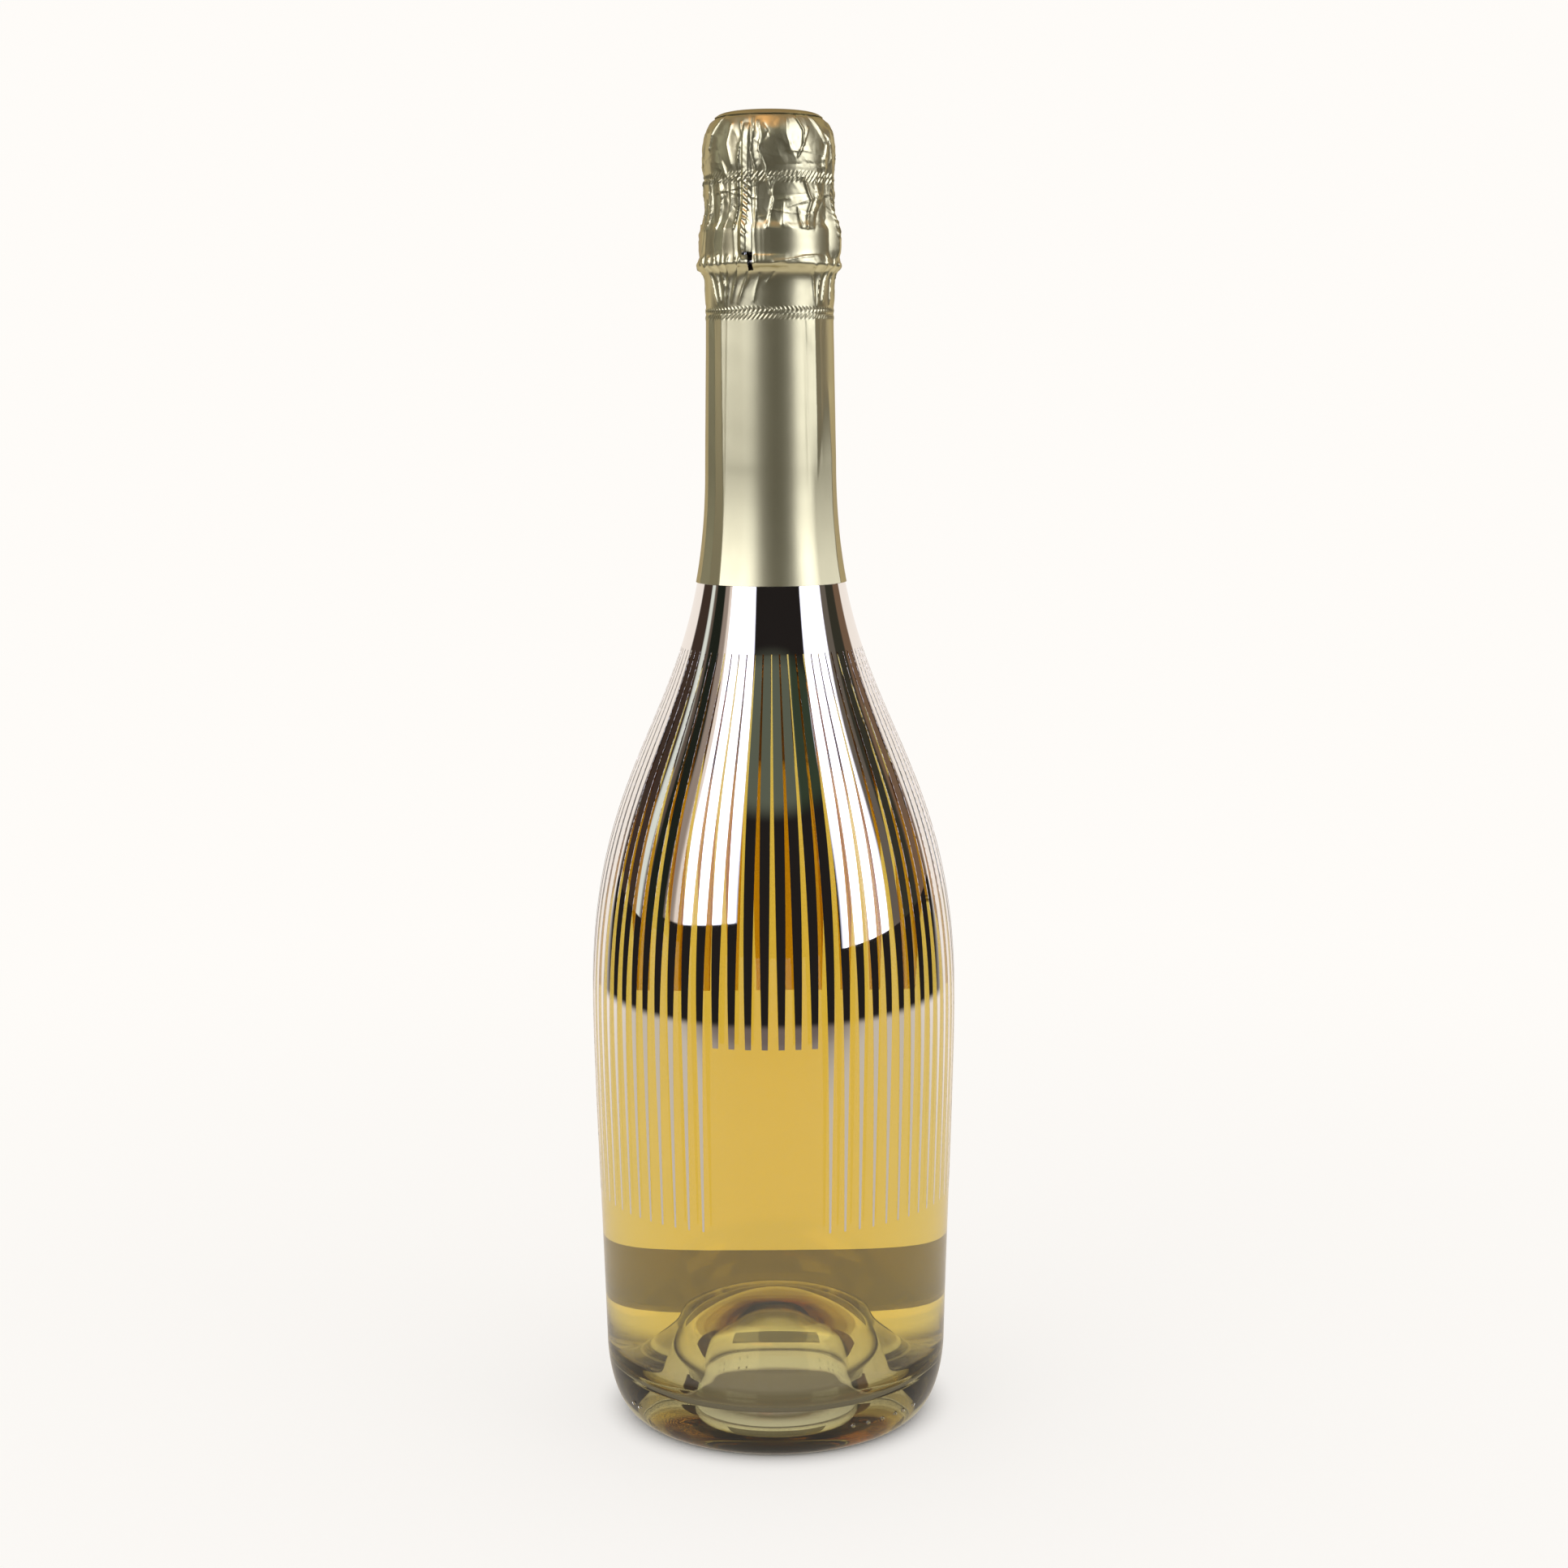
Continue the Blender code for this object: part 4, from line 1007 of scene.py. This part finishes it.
# Each pleat: its turns at the tear and at the rim, and its rise in mm at shares of the way up
SLEEVE_PLEATS = ((-45.5, -41, ((0, 0.70), (1, 0.84))), (-66, -66, ((0, 0.5), (1, 0.5))),
                 (43, 46, ((0.38, 0), (0.6, 0.34), (1, 0.40))), (64, 60, ((0, 1.1), (0.45, 0.9), (0.75, 0))),
                 (128, 133, ((0, 0.45), (1, 0.5))), (-128, -133, ((0, 0.5), (1, 0.45))),
                 (176, 171, ((0, 0), (0.3, 0.2), (0.8, 0.3), (1, 0.1))))
# Each fine pleat: its turns at the tear and at the rim, its rise and width in mm, and where it ends
FINE_PLEATS = ((-39, -41, 0.09, 0.30, 212), (33, 36, -0.10, 0.6, 226), (50, 52, 0.06, 0.5, 232),
               (136, 140, 0.10, 0.4, 220), (-120, -124, 0.08, 0.4, 224), (170, 172, 0.05, 0.5, 230))


def pleat(turns, radius, turn, rise):
    """The rise of a pleat with flat sides that run out along the round."""
    reach = np.arccos(radius / (radius + rise))
    return radius / np.cos(np.maximum(0, reach - np.abs(turn_between(turns, turn)))) - radius


def sleeve_push(turns, height, radius):
    """The rise of the smooth sleeve: long pleats from its flat packing, and the tear's lower row."""
    share = (height - SLEEVE_RIM) / (LOWER_TEAR - SLEEVE_RIM)
    lift = 0 * turns * height
    for top, foot, rises in SLEEVE_PLEATS:
        rise = np.interp(share, *zip(*rises)) * MM
        lift = np.maximum(lift, pleat(turns, radius, np.radians(foot + (top - foot) * share), rise))
    for top, foot, rise, width, end in FINE_PLEATS:
        aside = turn_between(turns, np.radians(foot + (top - foot) * share)) * radius
        fade = past(height - end * MM, 14)
        lift = lift + rise * MM * np.exp(-np.abs(aside) / (width * MM)) * fade
    across = turns * FOIL_ROUND
    lift = lift + SLEEVE_WAVE * np.sin(3 * turns + 40 * share) * np.sin(9 * share)
    lift = lift + slashes(across, height, *SLEEVE_CUTS)
    return lift + creased(across, height, random_creases(*SLEEVE_FAN))


def foil_rows(outline):
    """Close rows along an outline in mm."""
    return evenly([point * MM for point in flowing(outline, FOIL_PARTS)], FOIL_ROW)


def strip_rows():
    """The tear strip's rows over the bead, the ring and the belt, down to the lower tear."""
    outline = [(15.28, 300.49), (15.25, 298), (15.25, 295), (15.35, 292.4), (15.62, 290.6), (16.15, 289.4),
               (16.42, 288.4), (16.47, 286), (16.50, 283.6), (16.70, 282.4), (16.97, 281.35), (16.84, 280.6),
               (16.25, 280.0), (15.62, 279.15), (15.26, 277.9), (15.14, 276.2), (15.12, 273.5),
               (15.12, LOWER_TEAR / MM + 0.03)]
    return foil_rows(outline)


def hood_rows():
    """The hood's rows from under the top disc down to the upper tear."""
    outline = [(8.9, 316.02), (10.5, 315.75), (12.0, 315.15), (13.1, 314.25), (14.15, 312.6), (14.85, 310.7),
               (15.25, 308.4), (15.42, 305.8), (15.40, 303.4), (15.28, 301.8), (15.27, 300.53)]
    return foil_rows(outline)


def sleeve_rows():
    """The sleeve's rows along the neck, close together by the tear."""
    tear = np.arange(LOWER_TEAR, LOWER_TEAR - CLOSE_ROWS, -FOIL_ROW)
    below = np.linspace(LOWER_TEAR - CLOSE_ROWS, SLEEVE_RIM, round(SLEEVE_LENGTH / SLEEVE_ROW))
    heights = np.concatenate([tear, below[1:]])
    return np.stack([side_radius(heights) + SLEEVE_STAND, heights], axis=1)


def make_foil(looks):
    """The sleeve, the tear strip, the hood and the smooth disc on top."""
    sleeve = foil_sheet("sleeve_foil", sleeve_rows(), sleeve_push, [looks["sleeve"], looks["lining"]])
    settle(sleeve, "bottle", "foil", "foil_sleeve")
    strip = foil_sheet("strip_foil", strip_rows(), strip_push, [looks["foil"], looks["lining"]], tear_hole)
    settle(strip, "strip", "foil", "tear_strip")
    hood = foil_sheet("hood_foil", hood_rows(), hood_push, [looks["foil"], looks["lining"]])
    settle(hood, "hood", "foil", "foil_hood")
    disc = thin_plate("crown_disc", DISC_SHAPE, TOP_HEIGHT, DISC_SPACING, FOIL_THICKNESS, looks["disc"])
    settle(disc, "hood", "foil", "foil_top_disc")


def make_glass(looks):
    """The glass, the wine, the silver and the printed panel."""
    glass = turned("bottle_glass", glass_outside() + glass_inside(), GLASS_STEPS, looks["glass"], True)
    settle(glass, "bottle", "clear_glass", "glass_bottle")
    inside = [point for point in glass_inside() if point[1] < FILL_HEIGHT]
    grown = np.array(inside) - line_normals(inside) * WINE_OVERLAP
    grown[0][0] = 0
    outs, ups = zip(*glass_inside()[-4:])
    edge = float(np.interp(FILL_HEIGHT, ups, outs)) + WINE_OVERLAP
    surface = [(0, FILL_HEIGHT), (edge, FILL_HEIGHT)]
    wine = turned("wine_fill", surface + grown[::-1].tolist(), GLASS_STEPS, looks["wine"])
    settle(wine, "bottle", "wine", "wine")
    for item in (silver_band(looks["silver"]), silver_stripes(looks["silver"]), back_print(looks["print"]),
                 heel_dots(looks["glass"])):
        settle(item, "bottle", "clear_glass")


def feed(tree, node, feeds):
    """Give each named input of a node a value, a colour or another node's output."""
    for name, value in feeds.items():
        socket = node.inputs[name]
        if isinstance(value, bpy.types.NodeSocket):
            tree.links.new(value, socket)
        elif socket.type == "RGBA" and len(value) == 3:
            socket.default_value = (*value, 1)
        else:
            socket.default_value = value


def add_node(tree, kind, feeds=None, **settings):
    """A shader node with its settings and what feeds its inputs."""
    made = tree.nodes.new("ShaderNode" + kind)
    for name, value in settings.items():
        setattr(made, name, value)
    feed(tree, made, feeds or {})
    return made


def computed(tree, operation, *values):
    """The result of a sum on sockets and numbers."""
    return add_node(tree, "Math", dict(enumerate(values)), operation=operation).outputs[0]


def mixed(tree, factor, first, second):
    """Mix two colours, each a socket or a plain colour, by a factor socket."""
    return add_node(tree, "Mix", {0: factor, 6: first, 7: second}, data_type="RGBA").outputs[2]


def step_between(tree, value, low, high):
    """A smooth step of a value socket between two numbers."""
    feeds = {"Value": value, "From Min": low, "From Max": high}
    return add_node(tree, "MapRange", feeds, interpolation_type="SMOOTHSTEP").outputs[0]


def ramp_of(tree, factor, stops):
    """A colour ramp through stops of a place and a colour."""
    ramp = add_node(tree, "ValToRGB", {0: factor})
    elements = ramp.color_ramp.elements
    for element, (place, colour) in zip(elements, (stops[0], stops[-1])):
        element.position = place
        element.color = (*colour, 1)
    for place, colour in stops[1:-1]:
        elements.new(place).color = (*colour, 1)
    return ramp.outputs[0]


def effect(name, inputs):
    """An empty finish group with its sockets: what it is given and what it makes."""
    group = bpy.data.node_groups.new(name, "ShaderNodeTree")
    for label, value in inputs.items():
        kind = "NodeSocketColor" if isinstance(value, tuple) else "NodeSocketFloat"
        group.interface.new_socket(label, in_out="INPUT", socket_type=kind).default_value = value
    for label, kind in FINISH_OUTPUTS.items():
        group.interface.new_socket(label, in_out="OUTPUT", socket_type=kind)
    return group, group.nodes.new("NodeGroupInput").outputs, group.nodes.new("NodeGroupOutput")


def give_out(group, made, *results):
    """Lead a finish group's colour, roughness and height to its outputs."""
    feed(group, made, dict(zip(FINISH_OUTPUTS, results)))
    return group


def metal_finish():
    """Cloudy tint, uneven gloss and fine grain of a rolled or coated metal."""
    group, given, made = effect("metal_finish", {
        "Colour": (0.8, 0.8, 0.8, 1), "Shade": 0.85, "Cloud Scale": 120.0, "Grain Scale": 4000.0,
        "Roughness": 0.25, "Spread": 0.08, "Stretch": 1.0})
    place = add_node(group, "TexCoord").outputs["Object"]
    stretch = add_node(group, "CombineXYZ", {"X": 1.0, "Y": 1.0, "Z": given["Stretch"]}).outputs[0]
    scaled = add_node(group, "VectorMath", {0: place, 1: stretch}, operation="MULTIPLY").outputs[0]
    cloud, grain = (
        add_node(group, "TexNoise", {"Vector": scaled, "Scale": given[label], **detail}).outputs["Fac"]
        for label, detail in (("Cloud Scale", {"Detail": 3.0, "Roughness": 0.6}),
                              ("Grain Scale", {"Detail": 2.0})))
    feeds = {0: given["Colour"], "Scale": given["Shade"]}
    shaded = add_node(group, "VectorMath", feeds, operation="SCALE").outputs[0]
    tint = mixed(group, cloud, given["Colour"], shaded)
    centred = computed(group, "SUBTRACT", cloud, 0.5)
    gloss = computed(group, "MULTIPLY_ADD", centred, given["Spread"], given["Roughness"])
    return give_out(group, made, tint, gloss, grain)


def clear_finish():
    """The faint waviness, tint and handling haze of a clear body."""
    group, given, made = effect("clear_finish", {
        "Wave Scale": 60.0, "Tint": (0.97, 0.98, 0.97, 1), "Haze": 0.02})
    place = add_node(group, "TexCoord").outputs["Object"]
    feeds = {"Vector": place, "Scale": given["Wave Scale"], "Detail": 1.0, "Roughness": 0.4}
    wave = add_node(group, "TexNoise", feeds).outputs["Fac"]
    tint = mixed(group, wave, (1, 1, 1), given["Tint"])
    haze = computed(group, "MULTIPLY", wave, given["Haze"])
    return give_out(group, made, tint, haze, wave)


def cork_finish():
    """Pressed granules of cork: their own tones, dark joints and pits."""
    group, given, made = effect("cork_finish", {
        "Granule Scale": 700.0, "Light": (0.55, 0.36, 0.19, 1), "Dark": (0.25, 0.13, 0.06, 1), "Pits": 0.6})
    place = add_node(group, "TexCoord").outputs["Object"]
    granules = {"Vector": place, "Scale": given["Granule Scale"]}
    cells = add_node(group, "TexVoronoi", granules)
    joints = add_node(group, "TexVoronoi", granules, feature="DISTANCE_TO_EDGE")
    streaks = add_node(group, "TexNoise", {"Vector": place, "Scale": 260.0, "Detail": 5.0, "Roughness": 0.7})
    tone = add_node(group, "SeparateColor", {0: cells.outputs["Color"]})
    blend = computed(group, "MULTIPLY", tone.outputs[0], streaks.outputs["Fac"])
    narrow = {"Value": joints.outputs["Distance"], "From Max": 0.12, "To Min": 1.0, "To Max": 0.0}
    pit = computed(group, "MULTIPLY", add_node(group, "MapRange", narrow).outputs[0], given["Pits"])
    dark = computed(group, "MAXIMUM", blend, pit)
    colour = mixed(group, dark, given["Light"], given["Dark"])
    gloss = add_node(group, "MapRange", {"Value": dark, "To Min": 0.7, "To Max": 0.95}).outputs[0]
    return give_out(group, made, colour, gloss, computed(group, "SUBTRACT", 1.0, dark))


def finish_material(name, group, values, bump, constants):
    """A Principled material whose colour, gloss and relief come from a finish group."""
    made = bpy.data.materials.new(name)
    made.use_nodes = True
    tree = made.node_tree
    finish = add_node(tree, "Group", values, node_tree=group).outputs
    relief = add_node(tree, "Bump", {"Strength": 1.0, "Distance": bump * MICRON, "Height": finish["Height"]})
    feed(tree, tree.nodes["Principled BSDF"], {
        **constants,
        "Base Color": finish["Colour"],
        "Roughness": finish["Roughness"],
        "Normal": relief.outputs[0],
    })
    return made


def absorbing(material, colour, density):
    """Let a clear body swallow light along its depth."""
    tree = material.node_tree
    volume = add_node(tree, "VolumeAbsorption", {"Color": colour, "Density": density})
    feed(tree, tree.nodes["Material Output"], {"Volume": volume.outputs[0]})
    return material


def make_looks():
    """The materials of the bottle."""
    metal, clear, cork = metal_finish(), clear_finish(), cork_finish()
    looks = {}
    for label, name, wave, haze, bump, index, colour, density in CLEAR_LOOKS:
        body = finish_material(name, clear, {"Wave Scale": wave, "Haze": haze}, bump,
                               {"IOR": index, "Transmission Weight": 1.0})
        looks[label] = absorbing(body, colour, density)
    for group, labels, rows in ((metal, METAL_LABELS, METAL_LOOKS), (cork, CORK_LABELS, CORK_LOOKS)):
        for label, name, *values, bump, constants in rows:
            looks[label] = finish_material(name, group, dict(zip(labels, values)), bump, constants)
    return looks


def room_ramp(tree, turn, bands):
    """The colours round the room by turn, with nearly sharp borders."""
    stops = [(0, bands[0][1])]
    for (_, before), (degrees, after) in zip(bands, bands[1:]):
        place = degrees / 360 + 0.5
        stops += [(place - EDGE_SOFTNESS, before), (place + EDGE_SOFTNESS, after)]
    return ramp_of(tree, turn, stops + [(1, bands[-1][1])])


def make_world():
    """White to the eye and straight through glass, a studio room in metal, even for matt surfaces."""
    world = bpy.data.worlds.new("studio")
    bpy.context.scene.world = world
    world.use_nodes = True
    tree = world.node_tree
    place = add_node(tree, "TexCoord").outputs["Generated"]
    across, along, height = add_node(tree, "SeparateXYZ", {0: place}).outputs
    angle = computed(tree, "ARCTAN2", across, computed(tree, "MULTIPLY", along, -1.0))
    turn = add_node(tree, "MapRange", {"Value": angle, "From Min": -math.pi, "From Max": math.pi}).outputs[0]
    stops = [(degrees / 360 + 0.5, [foot / FEET_REACH] * 3) for degrees, foot in SOFTBOX_FEET]
    feet = ramp_of(tree, turn, stops)
    above = computed(tree, "MULTIPLY_ADD", feet, -FEET_REACH, height)
    room = room_ramp(tree, turn, FOOT_ROOM)
    for bands, level, (low, high) in ((LOW_ROOM, above, FEET_EDGE), (MIDDLE_ROOM, height, MIDDLE_EDGE),
                                      (HIGH_ROOM, height, HIGH_EDGE), (CEILING, height, CEILING_EDGE)):
        room = mixed(tree, step_between(tree, level, low, high), room, room_ramp(tree, turn, bands))
    feed(tree, tree.nodes["Background"], {"Color": seen_world(tree, room, height)})


def seen_world(tree, room, height):
    """Choose what a ray sees: the room after a reflection, shade from inside glass, or plain light."""
    path = add_node(tree, "LightPath").outputs
    scattered, mirrored = (computed(tree, "GREATER_THAN", path[label], 0.5)
                           for label in ("Diffuse Depth", "Glossy Depth"))
    overhead = mixed(tree, step_between(tree, height, *CEILING_THROUGH), PLAIN_WHITE, DIM_CEILING)
    through = mixed(tree, mirrored, mixed(tree, scattered, overhead, SHADE_IN_GLASS), room)
    lit = mixed(tree, path["Is Glossy Ray"], EVEN_LIGHT, room)
    lit = mixed(tree, path["Is Transmission Ray"], lit, through)
    return mixed(tree, path["Is Camera Ray"], lit, PLAIN_WHITE)


def seen_table(tree, reach):
    """The table to the eye: matt under the bottle, so that it keeps the shadow, and glowing far away."""
    far = step_between(tree, reach, *TABLE_FADE)
    share = add_node(tree, "MapRange", {"Value": far, "To Min": TABLE_GLOW, "To Max": 1.0}).outputs[0]
    glowing = computed(tree, "MULTIPLY", share, step_between(tree, reach, *FOOT_SHADE))
    matt = add_node(tree, "BsdfDiffuse", {"Color": PLAIN_WHITE})
    glow = add_node(tree, "Emission", {"Color": PLAIN_WHITE})
    return add_node(tree, "MixShader", {0: glowing, 1: matt.outputs[0], 2: glow.outputs[0]}).outputs[0]


def mirrored_table(tree, across, along, reach):
    """The table in metal: pale behind, darker to its front edge, with the dark room past its sides."""
    edge = step_between(tree, along, -TABLE_RADIUS - EDGE_DEPTH, -TABLE_RADIUS)
    near = step_between(tree, along, -TABLE_RADIUS, -0.5 * TABLE_RADIUS)
    front = mixed(tree, near, mixed(tree, edge, NEAR_BLACK, TABLE_EDGE), FLOOR_REFLECTED)
    table = mixed(tree, step_between(tree, along, *TABLE_BACK), front, WALL_WHITE)
    outside = step_between(tree, reach, *[share * TABLE_RADIUS for share in DARK_FROM])
    sideways = computed(tree, "MULTIPLY_ADD", computed(tree, "ABSOLUTE", across), -DARK_SLANT, along)
    before = step_between(tree, sideways, DARK_SOFTNESS, -DARK_SOFTNESS)
    return mixed(tree, computed(tree, "MULTIPLY", outside, before), table, NEAR_BLACK)


def make_floor():
    """The white table, which fades into the background."""
    mesh = bpy.data.meshes.new("table")
    signs = ((-1, -1), (1, -1), (1, 1), (-1, 1))
    corners = [(side * TABLE_SPREAD, end * TABLE_SPREAD, 0) for side, end in signs]
    mesh.from_pydata(corners, [], [(0, 1, 2, 3)])
    item = linked("table", mesh)
    surface = bpy.data.materials.new("white_table")
    surface.use_nodes = True
    tree = surface.node_tree
    tree.nodes.remove(tree.nodes["Principled BSDF"])
    place = add_node(tree, "NewGeometry").outputs["Position"]
    across, along, _ = add_node(tree, "SeparateXYZ", {0: place}).outputs
    reach = add_node(tree, "VectorMath", {0: place}, operation="LENGTH").outputs["Value"]
    path = add_node(tree, "LightPath").outputs
    mirrored = mirrored_table(tree, across, along, reach)
    # Painted shadow: through glass the floor glows dark under and near the bottle, and plain further out
    through = mixed(tree, step_between(tree, reach, *GLASS_SHADE), PAINTED_SHADOW_UNDER_GLASS, FLOOR_THROUGH)
    shown = seen_table(tree, reach)
    # A ray bent by glass counts as mirrored too, so what shows through glass has the last word
    for label, colour in (("Is Glossy Ray", mirrored), ("Is Transmission Ray", through)):
        glow = add_node(tree, "Emission", {"Color": colour})
        shown = add_node(tree, "MixShader", {0: path[label], 1: shown, 2: glow.outputs[0]}).outputs[0]
    feed(tree, tree.nodes["Material Output"], {"Surface": shown})
    mesh.materials.append(surface)


def make_lamp(name, degrees, height, distance, width, tall, power):
    """A softbox that lights matt surfaces from a turn and a height."""
    lamp = bpy.data.lights.new(name, "AREA")
    lamp.shape = "RECTANGLE"
    lamp.size = width
    lamp.size_y = tall
    lamp.energy = power
    item = linked(name, lamp)
    item.location = point_at(math.radians(degrees), distance, height)
    aim = Vector((0, 0, GLASS_HEIGHT / 2)) - item.location
    item.rotation_mode = "QUATERNION"
    item.rotation_quaternion = aim.to_track_quat("-Z", "Y")
    item.visible_camera = False
    item.visible_glossy = False
    item.visible_transmission = False


def make_camera():
    """The camera in front of the bottle, looking a little down."""
    data = bpy.data.cameras.new("camera")
    data.sensor_width = 36.0
    data.lens = CAMERA_LENS
    item = linked("camera", data)
    item.location = CAMERA_PLACE
    level = Matrix.Rotation(math.radians(90 - CAMERA_DIP), 3, "X")
    item.rotation_euler = (level @ Matrix.Rotation(math.radians(CAMERA_ROLL), 3, "Z")).to_euler()
    bpy.context.scene.camera = item


def build():
    """Dress the frame and set the studio."""
    looks = make_looks()
    make_glass(looks)
    make_closure(looks)
    make_foil(looks)
    make_world()
    make_floor()
    for lamp in LAMPS:
        make_lamp(*lamp)
    make_camera()
    scene = bpy.context.scene
    scene.view_settings.view_transform = "Standard"
    scene.cycles.max_bounces = GLASS_BOUNCES + 4
    scene.cycles.transmission_bounces = GLASS_BOUNCES


build()
